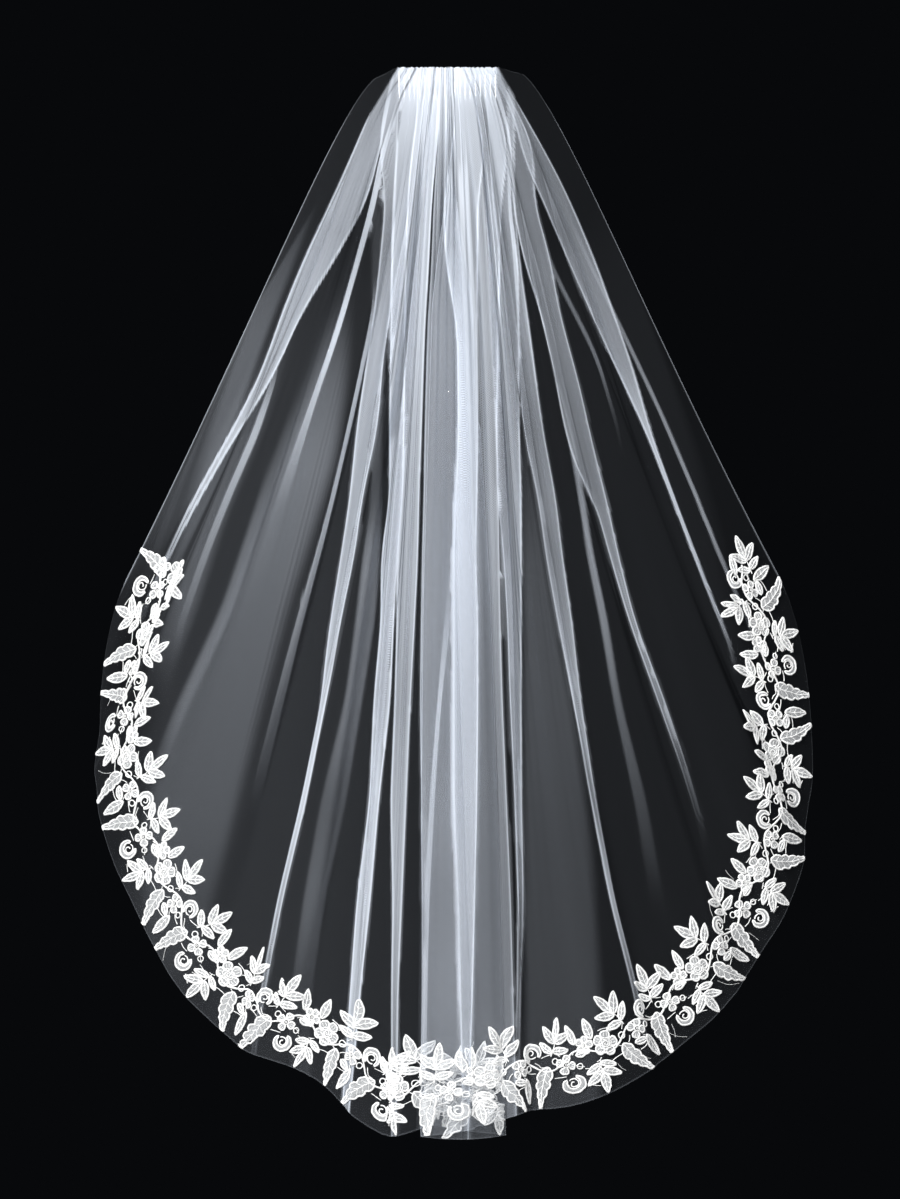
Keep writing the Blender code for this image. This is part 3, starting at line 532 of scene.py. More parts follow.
def snapped():
    # Row by row, the columns nearest a crisp crease are moved onto its edges (1), and the next ones to the
    # left and right close up to them (2, 3)
    taken = np.zeros(down.shape, int)
    for name, soft, lines, rows in creasesAndGlows:
        if soft > crease["soft"]:
            continue
        stops, lefts, rights, thick = np.array(rows, float).T
        for edges in (lefts, rights):
            aside = points[..., 0] - edgeAt(-points[..., 2], stops, edges)
            shown = edgeAt(-points[:, :-1, 2], stops, thick) > crease["shown"]
            row, column = np.nonzero((aside[:, :-1] * aside[:, 1:] < 0) & shown)
            share = aside[row, column] / (aside[row, column] - aside[row, column + 1])
            near = column + (share > 0.5)
            other = column + (share <= 0.5)
            part = np.minimum(share, 1 - share)
            free = (taken[row, near] == 0) & (near > 1) & (near < down.shape[1] - 2)
            row, near, other, part = row[free], near[free], other[free], part[free]
            points[row, near] += (points[row, other] - points[row, near]) * part[:, None]
            taken[row, near] = 1
            for side, mark in ((-1, 2), (1, 3)):
                beside = near + side
                gap = np.abs(points[row, beside, 0] - points[row, near, 0])
                wide = (taken[row, beside] == 0) & (gap > crease["guard"])
                at, edge, beside = row[wide], near[wide], beside[wide]
                step = (points[at, beside] - points[at, edge]) * (crease["guard"] / gap[wide])[:, None]
                points[at, beside] = points[at, edge] + step
                taken[at, beside] = mark
    return taken


def creasedAndPaintedLightLayers():
    x, low = points[..., 0], -points[..., 2]
    # the plain net, thinner toward the right: painted shade for the light from the left
    plainShaded = np.interp(x, crease["plainAt"], crease["plain"])
    total = plainShaded.copy()
    for name, soft, lines, rows in creasesAndGlows:
        stops, lefts, rights, thick = np.array(rows, float).T
        left, right = edgeAt(low, stops, lefts), edgeAt(low, stops, rights)
        body = edgeAt(low, stops, thick)
        # a soft band is a painted highlight: more net, and so more white, where light falls on a broad fold
        if soft > crease["soft"]:
            total += body * smooth((x - left) / soft + 0.5) * smooth((right - x) / soft + 0.5)
            continue
        # a slanting edge fades over more, so that it doesn't step from row to row
        run = crease["run"] + 3 * np.abs(edgeAt(low + 2, stops, lefts) - edgeAt(low - 2, stops, lefts)) / 4
        total += body * smooth((x - left) / run + 1) * smooth((right - x) / run + 1)
        edges = sum(np.exp(-(((x - edge) / crease["lineWidth"]) ** 2)) for edge in (left, right))
        edges *= np.minimum(body / crease["lineFull"], 1)
        total += lines * edges * smooth((low - crease["lineStarts"]) / crease["lineGrows"])
    held = smooth((x - bulk["left"]) / bulk["soft"] + 0.5) * smooth((bulk["right"] - x) / bulk["soft"] + 0.5)
    total += np.interp(down, bulk["stops"], bulk["layers"]) * held
    within = smooth((bulk["shoulder"] + bulk["shoulderSlope"] * low - np.abs(x)) / bulk["shoulderSoft"])
    return plainShaded + (total - plainShaded) * within


def sheetsDeep():  # how many times the cloth crosses each of its points, seen from the front
    deep = np.ones_like(down)
    for row, x in enumerate(points[..., 0]):
        low, high = np.minimum(x[:-1], x[1:]), np.maximum(x[:-1], x[1:])
        deep[row] = np.maximum(((x[:, None] > low) & (x[:, None] <= high)).sum(axis=1), 1)
    near, span = crease["easeRows"], 2 * crease["easeRows"] + 1
    held = np.pad(1 / deep, ((near, near), (0, 0)), mode="edge")
    return 1 / sum(held[k : k + len(deep)] for k in range(span)) * span  # eased over a few rows


onCrease = snapped()
streaks = np.clip(1 + bunch - bunch.mean(axis=1, keepdims=True), *gathers["limits"])
layers = creasedAndPaintedLightLayers() * streaks / sheetsDeep()
layers *= np.clip(np.abs(normals[..., 1]), crease["shallow"], 1) ** crease["facingPower"]
edgeGap = np.minimum((1 - shares)[:, None] * lengths[None, :], (halfWidth - np.abs(across))[None, :])
doubled = np.interp(across, (-halfWidth, 0, halfWidth), cutLine["sides"])
doubled = doubled * smooth((down - cutLine["starts"]) / cutLine["grows"]) * (down < veil["sideLength"])
layers += (cutLine["hem"] + doubled) * (edgeGap < veil["cutEdge"] / 2)
print("layers", layers.min(), layers.mean(), layers.max())


def toLinear(code):
    parts = [int(code[k : k + 2], 16) / 255 for k in (1, 3, 5)]
    return [p / 12.92 if p <= 0.04045 else ((p + 0.055) / 1.055) ** 2.4 for p in parts] + [1.0]


def addNode(tree, kind, links=None, **settings):
    node = tree.nodes.new(kind)
    for name, value in settings.items():
        setattr(node, name, value)
    for socket, value in (links or {}).items():
        if isinstance(value, bpy.types.NodeSocket):
            tree.links.new(value, node.inputs[socket])
        else:
            node.inputs[socket].default_value = value
    return node.outputs


def newMaterial(name, values):
    made = bpy.data.materials.new(name)
    made.use_nodes = True
    shader = made.node_tree.nodes["Principled BSDF"].inputs
    for socket, value in values.items():
        shader[socket].default_value = value
    return made, made.node_tree, shader


# How the net takes the light. The real mesh has six-sided holes 1.2 mm apart and is drawn coarser, so that it
# shows: mm between holes, the share of the light that one layer stops, how much more and less of it on a
# thread and in a hole, and the least it counts as facing the eye
netting = {"pitch": 2.0, "stopped": 0.036, "onThread": 1.22, "inHole": 0.68, "edgeOn": 0.1}


def softTulle():
    # Soft polyester bridal net: clear enough to see through where it lies single, white where layers bunch
    # or the cloth turns its edge to the eye, with the faint bloom of fine filament
    look = {"Base Color": toLinear("#d6dde8"), "Roughness": 0.62, "Specular IOR Level": 0.3}
    made, tree, shader = newMaterial("softTulle", {**look, "Sheen Weight": 0.25, "Sheen Roughness": 0.45})
    flat = addNode(tree, "ShaderNodeUVMap", uv_map="flat")["UV"]
    waves = []
    for turn in np.radians((0, 60, 120)):
        often = veil["flatSpan"] / netting["pitch"]
        way = (math.cos(turn) * often, math.sin(turn) * often, 0)
        along = addNode(tree, "ShaderNodeVectorMath", {0: flat, 1: way}, operation="DOT_PRODUCT")["Value"]
        phase = addNode(tree, "ShaderNodeMath", {0: along, 1: 2 * math.pi}, operation="MULTIPLY")[0]
        waves.append(addNode(tree, "ShaderNodeMath", {0: phase}, operation="COSINE")[0])
    two = addNode(tree, "ShaderNodeMath", {0: waves[0], 1: waves[1]}, operation="ADD")[0]
    three = addNode(tree, "ShaderNodeMath", {0: two, 1: waves[2]}, operation="ADD")[0]
    ends = {1: -1.5, 2: 3.0, 3: netting["onThread"], 4: netting["inHole"]}
    value = addNode(tree, "ShaderNodeMapRange", {0: three, **ends})[0]
    layerCount = addNode(tree, "ShaderNodeAttribute", attribute_name="layers")["Fac"]
    facing = addNode(tree, "ShaderNodeLayerWeight", {"Blend": 0.5})["Facing"]
    straight = addNode(tree, "ShaderNodeMath", {0: 1.0, 1: facing}, operation="SUBTRACT")[0]
    held = addNode(tree, "ShaderNodeMath", {0: straight, 1: netting["edgeOn"]}, operation="MAXIMUM")[0]
    for operation, other in (("MULTIPLY", -netting["stopped"]), ("MULTIPLY", layerCount), ("DIVIDE", held)):
        value = addNode(tree, "ShaderNodeMath", {0: value, 1: other}, operation=operation)[0]
    clear = addNode(tree, "ShaderNodeMath", {0: value}, operation="EXPONENT")[0]
    alpha = addNode(tree, "ShaderNodeMath", {0: 1.0, 1: clear}, operation="SUBTRACT", use_clamp=True)[0]
    tree.links.new(alpha, shader["Alpha"])
    return made


def newObject(name, mesh):
    made = bpy.data.objects.new(name, mesh)
    bpy.context.scene.collection.objects.link(made)
    return made


def newMesh(name, places, edges, faces):  # places in mm
    mesh = bpy.data.meshes.new(name)
    mesh.from_pydata(np.asarray(places) * mm, edges, faces)
    return mesh


def gridQuads(at):
    return np.stack([at[:-1, :-1], at[1:, :-1], at[1:, 1:], at[:-1, 1:]], axis=-1).reshape(-1, 4)


def makeVeil():
    rows, wide = points.shape[:2]
    quads = gridQuads(np.arange(rows * wide).reshape(rows, wide))
    rising = (onCrease[:-1, 1:] == onCrease[1:, :-1]) & (onCrease[1:, :-1] > 0)
    rising = rising.reshape(-1, 1)  # each quad is parted along the crease in it
    a, b, c, d = quads.T[..., None]
    one, other = np.hstack([a, b, np.where(rising, d, c)]), np.hstack([np.where(rising, b, a), c, d])
    faces = np.concatenate([one, other])
    mesh = newMesh("veil_net", points.reshape(-1, 3), [], faces.tolist())
    span = veil["flatSpan"]
    flat = np.stack(np.broadcast_arrays(0.5 + across / span, 1 - down / span), axis=-1)
    corners = flat.reshape(-1, 2)[faces.reshape(-1)]
    mesh.uv_layers.new(name="flat").data.foreach_set("uv", corners.astype(np.float32).ravel())
    density = mesh.attributes.new("layers", "FLOAT", "POINT")
    density.data.foreach_set("value", layers.astype(np.float32).ravel())
    lean = mesh.attributes.new("outward", "FLOAT_VECTOR", "POINT")
    lean.data.foreach_set("vector", outward(points).astype(np.float32).ravel())
    mesh.shade_smooth()
    mesh.normals_split_custom_set_from_vertices(normals.reshape(-1, 3).tolist())
    made = newObject("veil_net", mesh)
    mesh.materials.append(softTulle())
    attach(made, "root")
    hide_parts("veil_tulle")
    return made


veilNet = makeVeil()
area = sum(face.area for face in veilNet.data.polygons)
print("veil", len(veilNet.data.polygons), "triangles, area", round(area, 3))


# The corded lace trim, laid out flat in mm: first number along the trim, second across it (above 0 is toward
# the hem), third off the cloth
lace = {
    "repeat": 125.6,
    "start": 10.0,
    "length": 1655.0,  # which is eased over the fuller hem
    "inset": 42.0,  # from the hem to the trim's middle line
    "climb": 42.0,  # how far up the straight sides it goes
    "spare": 60.0,  # room past each end for the shapes that finish the trim
    "pieces": (("left", 0, 5), ("middle", 5, 9), ("right", 9, 13)),
    "parting": 113.5,  # where in a repeat those three meet
    "outline": 0.9,  # radius of the cord round each shape
    "rib": 0.42,
    "vein": 0.27,
    "bar": 0.4,
    "step": 1.7,  # between two points of a cord
    "wobble": 0.16,
    "sides": 6,
    "webThick": 0.3,
    "webRise": 0.5,  # how far the filling crowns between its cords
    "vineSwing": 7.0,
    "lift": 0.95,
    "looseEnds": 7,
    "loose": 0.17,
    "wind": 0.6,  # between two turns of the thread wound on the cords
    "darning": 0.9,  # between two threads of the filling, twice the real spacing, so that it shows
    "ribRise": 0.2,  # how far the midribs stand over the filling
    "vinePhase": 9.0,
    "edgeRoom": 1.2,  # nothing comes closer to the hem
    "joint": 0.15,  # left open where two stretches meet
}
# One repeat: shape, place along and across, the way it points (90 is toward the hem), its length (the radius,
# for round shapes) and width
sprig = (
    ("rose", 67, -2, 10, 12.5, 5),
    ("spray", 11, -9, -70, 15, 22),
    ("spray", 92, -11, -106, 15, 23),
    ("spray", 55, 11, 96, 11, 20),
    ("toothed", 7, 3, 104, 38, 15),
    ("toothed", 82, 7, 66, 36, 14),
    ("blossom", 24, 3, 20, 9.5, 4),
    ("blossom", 47, -9, 10, 9, 5),
    ("blossom", 101, 1, 40, 9.5, 4),
    ("scroll", 27, 22, 80, 9, 4),
    ("scroll", 117, -11, -110, 9, 3.8),
    ("bud", 36, -3, 6, 12, 5.5),
    ("leaf", 38, -13, -96, 20, 8),
    ("leaf", 108, 12, 84, 24, 9),
    ("leaf", 56, -12, -82, 20, 8),
    ("bud", 93, 12, 12, 13, 6),
    ("ring", 14, -2, 0, 2.8, 0),
    ("ring", 36, 8, 0, 2.6, 0),
    ("ring", 85, -1, 0, 3.0, 0),
    ("ring", 113, 3, 0, 2.8, 0),
)
# Thin bars that tie the shapes together, from one place to another
bars = (
    (0, 3, 7, 3), (0, -6, 11, -9), (16, 5, 10, 6), (20, -6, 14, -10), (33, -4, 38, -7), (33, 6, 40, 10),
    (41, 22, 50, 20), (38, 28, 46, 32), (52, 10, 58, 8), (40, 12, 50, 14), (78, 6, 83, 9),
    (76, -10, 82, -12), (88, -6, 92, -11), (92, 3, 88, 8), (104, 10, 108, 13), (110, -4, 113, -5),
    (94, 20, 106, 18), (62, 16, 80, 14), (120, -2, 125.6, 3), (110, 6, 120, 8), (66, -16, 76, -14),
    (12, 14, 22, 14), (36, -16, 46, -16),
)


def throughPoints(knots, closed=False, step=None):  # a smooth line through the knots, in even steps
    knots = np.asarray(knots, float)
    if closed:
        around = np.concatenate([knots[-1:], knots, knots[:2]])
    else:
        around = np.concatenate([2 * knots[:1] - knots[1:2], knots, 2 * knots[-1:] - knots[-2:-1]])
    parts = np.linspace(0, 1, 6, endpoint=False)[:, None]
    line = []
    for a, b, c, d in zip(around, around[1:], around[2:], around[3:]):
        bends = (2 * a - 5 * b + 4 * c - d) * parts**2 + (3 * b - a - 3 * c + d) * parts**3
        line.append(0.5 * (2 * b + (c - a) * parts + bends))
    line = np.concatenate(line + [knots[:1] if closed else knots[-1:]])
    far = np.concatenate([[0.0], np.cumsum(np.linalg.norm(np.diff(line, axis=0), axis=1))])
    count = max(3, round(far[-1] / (step or lace["step"])))
    at = np.linspace(0, far[-1], count + 1)
    at = at[:-1] if closed else at
    return np.stack([np.interp(at, far, line[:, k]) for k in range(line.shape[1])], axis=1)


def turned(points, s, n, angle):
    c, d = math.cos(math.radians(angle)), math.sin(math.radians(angle))
    x, y = points[..., 0], points[..., 1]
    return np.stack([s + x * c - y * d, n + x * d + y * c, points[..., 2]], axis=-1)


def raised(points, height):
    return np.concatenate([points, np.broadcast_to(np.reshape(height, (-1, 1)), (len(points), 1))], axis=1)


def cord(knots, height, radius, closed=False, step=None):  # height may be a pair, from start to end
    line = throughPoints(knots, closed, step)
    height = np.linspace(*height, len(line)) if isinstance(height, tuple) else height
    return raised(line, height), radius, closed


def filled(low, high, across=4):  # a crowned patch of filling between two lines of as many points
    share = np.linspace(0.04, 0.96, across + 1)
    grid = low[:, None, :] * (1 - share[None, :, None]) + high[:, None, :] * share[None, :, None]
    crown = lace["webRise"] * (1 - (2 * share - 1) ** 2)
    tall = np.broadcast_to(crown[None, :, None], grid.shape[:2] + (1,))
    return np.concatenate([grid, tall], axis=2)


def veins(rib, half, count, reach, rise):  # pairs of veins that lean forward from the midrib
    made = []
    for k in range(count):
        foot = (k + 0.8) / (count + 1.3)
        ahead = min(foot + reach, 0.97)
        for side in (-1, 1):
            start = [np.interp(foot, rib["share"], rib[axis]) for axis in "xy"]
            end = [np.interp(ahead, rib["share"], rib[axis]) for axis in "xy"]
            end[1] += side * 0.86 * np.interp(ahead, rib["share"], half)
            bend = [start[0] * 0.45 + end[0] * 0.55, start[1] * 0.6 + end[1] * 0.4]
            made.append(cord([start, bend, end], (rise, 0.15), lace["vein"]))
    return made


def leaf(length, width, ribs=3):
    share = np.linspace(0, 1, 11)
    half = width / 2 * np.sin(math.pi * share**0.84) ** 0.82
    bow = chance.uniform(-0.07, 0.07) * length * share**2
    low, stem, high = (np.stack([share * length, bow + side * half], axis=1) for side in (-1, 0, 1))
    rib = {"share": share, "x": share * length, "y": bow}
    crest = lace["webRise"] + lace["ribRise"]
    cords = [cord(np.concatenate([low, high[-2:0:-1]]), 0.0, lace["outline"], True)]
    cords.append(cord(stem[:10], crest, lace["rib"]))
    return cords + veins(rib, half, ribs, 0.14, crest), [filled(low, high)]


def bud(length, width):
    return leaf(length, width, ribs=2)


def toothed(length, width):  # a broad pointed leaf with a wavy edge and a small foot at its tip
    share = np.array((0, 0.06, 0.15, 0.26, 0.33, 0.38, 0.48, 0.56, 0.61, 0.70, 0.78, 0.83, 0.90, 0.96, 1.0))
    upper = np.array((0.1, 0.5, 0.86, 1.0, 0.95, 0.74, 0.88, 0.8, 0.52, 0.6, 0.5, 0.3, 0.34, 0.3, 0.2))
    lower = np.array((0.1, 0.45, 0.78, 0.82, 0.66, 0.84, 0.86, 0.6, 0.66, 0.62, 0.36, 0.4, 0.3, 0.24, 0.2))
    bow = 0.05 * length * np.sin(math.pi * share)
    halves = [part * width / 2 for part in (-lower, 0, upper)]
    low, stem, high = (np.stack([share * length, bow + half], axis=1) for half in halves)
    rib = {"share": share, "x": share * length, "y": bow}
    crest = lace["webRise"] + lace["ribRise"]
    cords = [cord(np.concatenate([low, high[::-1]]), 0.0, lace["outline"], True, 1.5)]
    cords.append(cord(stem, crest, lace["rib"]))
    cords += veins(rib, (upper + lower) * width / 4, 5, 0.13, crest)
    turn = np.linspace(0, 2 * math.pi, 8, endpoint=False)
    foot = np.stack([length + 0.8 + 1.0 * np.cos(turn), bow[-1] + 1.9 * np.sin(turn)], axis=1)
    cords.append((raised(foot, 0.1), lace["outline"], True))
    return cords, [filled(low, high)]


def putShape(cords, webs, made, s, n, angle):  # adds a made shape at its place and angle
    cords += [(turned(line, s, n, angle), radius, closed) for line, radius, closed in made[0]]
    webs += [turned(grid, s, n, angle) for grid in made[1]]


def spray(length, size):  # a stem with a leaf at its end and four more in pairs, each so long at the most
    stem = [(-2.0, 0.0), (0.5 * length, 0.05 * length), (length, 0.0)]
    cords, webs = [cord(stem, 0.1, 1.2 * lace["rib"])], []
    leaves = ((0.95, 0, 1.0), (0.8, 54, 0.94), (0.72, -56, 0.9), (0.2, 66, 0.8), (0.1, -70, 0.74))
    for share, way, scale in leaves:  # place along the stem, angle and size
        way += chance.uniform(-5, 5)
        putShape(cords, webs, leaf(size * scale, 0.37 * size * scale, 3), share * length, 0.0, way)
    return cords, webs


def petals(radius, count, inner, wide, notch):  # the last three are shares of the radius
    cords, webs = [], []
    for k in range(count):
        share = np.linspace(0, 1, 9)
        half = wide * radius * np.sin(math.pi * (0.12 + 0.86 * share) ** 1.25) ** 0.75
        reach = radius * (inner + (1 - inner) * share)
        reach = reach - notch * radius * (share > 0.95)
        way = 2 * math.pi * (k + chance.uniform(-0.06, 0.06)) / count
        ahead, aside = np.array((math.cos(way), math.sin(way))), np.array((-math.sin(way), math.cos(way)))
        low = reach[:, None] * ahead - half[:, None] * aside
        high = reach[:, None] * ahead + half[:, None] * aside
        cords.append(cord(np.concatenate([low, high[::-1]]), 0.0, lace["outline"], True))
        webs.append(filled(low, high))
        for lean in (-0.3, 0.3):
            ray = reach[3:7, None] * ahead + lean * half[3:7, None] * aside
            cords.append(cord(ray, lace["webRise"], lace["vein"]))
    return cords, webs


def ringLine(radius, waves=0, depth=0.0, count=16):
    turn = np.linspace(0, 2 * math.pi, count, endpoint=False)
    reach = radius * (1 + depth * np.cos(waves * turn))
    return np.stack([reach * np.cos(turn), reach * np.sin(turn)], axis=1)


def rose(radius, width):  # a full flower: round petals, a frilled ring and a coiled heart
    cords, webs = petals(radius, 5, 0.3, 0.36, 0.05)
    cords.append(cord(ringLine(0.44 * radius, 7, 0.13, 42), 0.9, 0.6, True, 1.3))
    turn = np.linspace(0, 3.4 * math.pi, 30)
    reach = 0.3 * radius * (1 - 0.78 * turn / turn[-1])
    coil = np.stack([np.cos(turn), np.sin(turn)], axis=1) * reach[:, None]
    cords.append(cord(coil, 1.2, 0.55, step=1.3))
    side = ringLine(0.4 * radius, count=12)
    webs.append(filled(side[:6], side[11:5:-1]) + np.array((0, 0, 0.35)))
    return cords, webs


def blossom(radius, count):  # a small open flower of so many petals, with a ring at its heart
    cords, webs = petals(radius, count, 0.28, 0.34 if count > 4 else 0.36, 0.08)
    cords.append(cord(ringLine(0.27 * radius), 0.8, 0.55, True, 1.3))
    cords.append(cord(ringLine(0.1 * radius, count=8), 1.1, 0.4, True, 0.7))
    return cords, webs


def scroll(radius, width):  # an open C with a coil at one end
    turn = np.radians(np.linspace(-140, 140, 19))
    band = np.sqrt(np.sin(np.linspace(0.1, math.pi - 0.1, 19))) * width / 2
    ways = np.stack([np.cos(turn), np.sin(turn)], axis=1)
    outer, inner = (ways * (radius - width / 2 + side * band)[:, None] for side in (1, -1))
    cords = [cord(np.concatenate([outer, inner[::-1]]), 0.0, lace["outline"], True)]
    turn = np.radians(np.linspace(150, 560, 26))
    reach = np.linspace(radius - width, 0.16 * radius, 26)
    coil = np.stack([reach * np.cos(turn), reach * np.sin(turn)], axis=1)
    cords.append(cord(coil, 0.1, 0.66, step=1.4))
    return cords, [filled(inner, outer, 3)]


def ring(radius, width):
    return [cord(ringLine(radius), 0.0, 0.6, True, 1.4)], []


shapes = {"leaf": leaf, "bud": bud, "toothed": toothed, "rose": rose, "blossom": blossom, "scroll": scroll}
shapes["ring"], shapes["spray"] = ring, spray


def trimPath():
    share = np.linspace(-1, 1, 1200)
    hemAcross = halfWidth * np.sin(0.5 * math.pi * share)
    hemDown = fullerLengths(hemAcross)
    highest = veil["sideLength"] - lace["climb"] - lace["spare"]
    climb = np.linspace(highest, veil["sideLength"], 80, endpoint=False)
    side = np.full(len(climb), halfWidth)
    hem = [np.concatenate([-side, hemAcross, side]), np.concatenate([climb, hemDown, climb[::-1]])]
    hem = np.stack(hem, axis=1)
    along = np.gradient(hem, axis=0)
    along /= np.linalg.norm(along, axis=1, keepdims=True)
    out = np.stack([-along[:, 1], along[:, 0]], axis=1)
    centre = hem - out * lace["inset"]
    far = np.concatenate([[0.0], np.cumsum(np.linalg.norm(np.diff(centre, axis=0), axis=1))])
    return centre, out, (far - lace["spare"]) * lace["length"] / (far[-1] - 2 * lace["spare"])


trim = trimPath()


def toFlat(points):  # from the trim to the flat cut: across, down and off the cloth
    centre, out, far = trim
    s, n = points[..., 0], np.minimum(points[..., 1], lace["inset"] - lace["edgeRoom"])
    base = np.stack([np.interp(s, far, part) for part in centre.T], axis=-1)
    lean = np.stack([np.interp(s, far, part) for part in out.T], axis=-1)
    return np.concatenate([base + lean * n[..., None], points[..., 2:]], axis=-1)


def vine(start, end):  # the stem that joins a stretch
    at = np.linspace(start, end, round((end - start) / 2.0) + 1)
    phase = 4 * math.pi / lace["repeat"] * (at - lace["start"] + lace["vinePhase"])
    line = np.stack([at, lace["vineSwing"] * np.sin(phase)], axis=1)
    return [(raised(line, 0.0), lace["outline"], False)], []


def trimStretch(first, last):
    low = lace["parting"] - lace["repeat"] if first else 0.0
    high = lace["parting"] if last < lace["pieces"][-1][2] else lace["repeat"]
    start = lace["start"] + first * lace["repeat"] + low
    end = lace["start"] + (last - 1) * lace["repeat"] + high
    cords, webs = vine(start + lace["joint"], end - lace["joint"])
    for repeat in range(first - 1, last):
        base = lace["start"] + repeat * lace["repeat"]
        for kind, s, n, angle, length, width in sprig:
            if start <= base + s < end:
                lean = angle + chance.uniform(-3, 3)
                putShape(cords, webs, shapes[kind](length, width), base + s, n, lean)
        for s, n, toS, toN in bars:
            if start + 3 <= base + min(s, toS) and base + max(s, toS) < end - 3:
                bend = chance.uniform(-1, 1)
                knots = [(base + s, n), (base + (s + toS) / 2, (n + toN) / 2 + bend), (base + toS, toN)]
                cords.append(cord(knots, 0.0, lace["bar"]))
    outer = []  # the trim starts in a full flower and a small one, and ends in a spray
    if first == 0:
        outer = [("rose", start + 2, -14, 190, 14, 5), ("blossom", start + 3, 9, 150, 10, 4)]
    if last == lace["pieces"][-1][2]:
        outer = [("spray", end - 10, 13, 2, 15, 22), ("leaf", end - 6, -8, 20, 20, 8)]
    for kind, s, n, angle, length, width in outer:
        putShape(cords, webs, shapes[kind](length, width), s, n, angle)
    for k in range(lace["looseEnds"]):  # cut ends of thread that nobody has trimmed
        s, side = chance.uniform(start + 10, end - 10), chance.choice((-1, 1))
        reach, bend = chance.uniform(8, 20), chance.uniform(-9, 9)
        knots = [(s + bend * b, (20 + reach * r) * side) for b, r in ((0, 0), (0.7, 0.6), (1.8, 1))]
        cords.append(cord(knots, 0.3, lace["loose"]))
    return cords, webs


def threadMesh(name, places, edges, radii):
    mesh = newMesh(name, places, edges, [])
    kept = mesh.attributes.new("cordRadius", "FLOAT", "POINT")
    kept.data.foreach_set("value", np.array(radii, np.float32) * mm)
    return mesh


def cordMesh(name, cords):  # edges only, with each cord's radius on its points
    places, radii, edges = [], [], []
    for line, radius, closed in cords:
        first, count = len(radii), len(line)
        wobbled = line.copy()
        wobbled[1:-1, :2] += chance.normal(0, lace["wobble"] * min(radius, 0.72), (count - 2, 2))
        places.append(wobbled)
        radii += list(radius * (1 + chance.uniform(-0.1, 0.12, count)))
        edges += [(first + k, first + k + 1) for k in range(count - 1)]
        if closed:
            edges.append((first + count - 1, first))
    flat = toFlat(np.concatenate(places))
    return threadMesh(name, np.stack([flat[:, 0], -flat[:, 1], flat[:, 2]], axis=1), edges, radii)


def webMesh(name, webs):  # thin closed slabs of filling
    places, faces = [], []
    for grid in webs:
        flat = toFlat(grid)
        flat[..., 1] *= -1
        a, b = flat[-1, 0] - flat[0, 0], flat[0, -1] - flat[0, 0]
        if a[0] * b[1] - a[1] * b[0] < 0:
            flat = flat[:, ::-1]
        rows, wide = flat.shape[:2]
        first, count = sum(len(p) for p in places), rows * wide
        at = np.arange(count).reshape(rows, wide) + first
        quads = gridQuads(at)
        rim = np.concatenate([at[:-1, 0], at[-1, :-1], at[:0:-1, -1], at[0, :0:-1]])
        faces += quads.tolist() + (quads[:, ::-1] + count).tolist()
        faces += [(b, a, a + count, b + count) for a, b in zip(rim, np.roll(rim, -1))]
        flat = flat.reshape(-1, 3)
        half = np.array((0, 0, lace["webThick"] / 2))
        places += [flat + half, flat - half]
    return newMesh(name, np.concatenate(places), [], faces)


treeInputs = (("Cloth", "NodeSocketObject"), ("Lift", "NodeSocketFloat"), ("Material", "NodeSocketMaterial"))


def newTree(name, inputs):
    tree = bpy.data.node_groups.new(name, "GeometryNodeTree")
    tree.interface.new_socket("Geometry", in_out="INPUT", socket_type="NodeSocketGeometry")
    for label, kind in inputs:
        tree.interface.new_socket(label, in_out="INPUT", socket_type=kind)
    tree.interface.new_socket("Geometry", in_out="OUTPUT", socket_type="NodeSocketGeometry")
    return tree, addNode(tree, "NodeGroupInput")


def finishTree(tree, geometry, material):
    real = addNode(tree, "GeometryNodeRealizeInstances", {"Geometry": geometry})[0]
    done = addNode(tree, "GeometryNodeSetMaterial", {"Geometry": real, "Material": material})[0]
    addNode(tree, "NodeGroupOutput", {"Geometry": done})


def laidOnCloth(tree, geometry, cloth, lift):
    # Each point of the flat cut goes to its place on the hanging cloth, as far off it as off the flat
    net = addNode(tree, "GeometryNodeObjectInfo", {"Object": cloth})["Geometry"]
    place = addNode(tree, "GeometryNodeInputPosition")[0]
    scale = 1 / (veil["flatSpan"] * mm)
    spot = {0: place, 1: (scale, scale, 0), 2: (0.5, 1.0, 0)}
    spot = addNode(tree, "ShaderNodeVectorMath", spot, operation="MULTIPLY_ADD")[0]
    flat = addNode(tree, "GeometryNodeInputNamedAttribute", {"Name": "flat"}, data_type="FLOAT_VECTOR")[0]
    lean = addNode(tree, "GeometryNodeInputNamedAttribute", {"Name": "outward"}, data_type="FLOAT_VECTOR")[0]
    found = []
    for value in (addNode(tree, "GeometryNodeInputPosition")[0], lean):
        links = {"Mesh": net, "Value": value, "UV Map": flat, "Sample UV": spot}
        found.append(addNode(tree, "GeometryNodeSampleUVSurface", links, data_type="FLOAT_VECTOR")[0])
    height = addNode(tree, "ShaderNodeSeparateXYZ", {0: place})["Z"]
    height = addNode(tree, "ShaderNodeMath", {0: height, 1: lift}, operation="ADD")[0]
    out = addNode(tree, "ShaderNodeVectorMath", {0: found[1]}, operation="NORMALIZE")[0]
    out = addNode(tree, "ShaderNodeVectorMath", {0: out, "Scale": height}, operation="SCALE")[0]
    target = addNode(tree, "ShaderNodeVectorMath", {0: found[0], 1: out}, operation="ADD")[0]
    return addNode(tree, "GeometryNodeSetPosition", {"Geometry": geometry, "Position": target})[0]


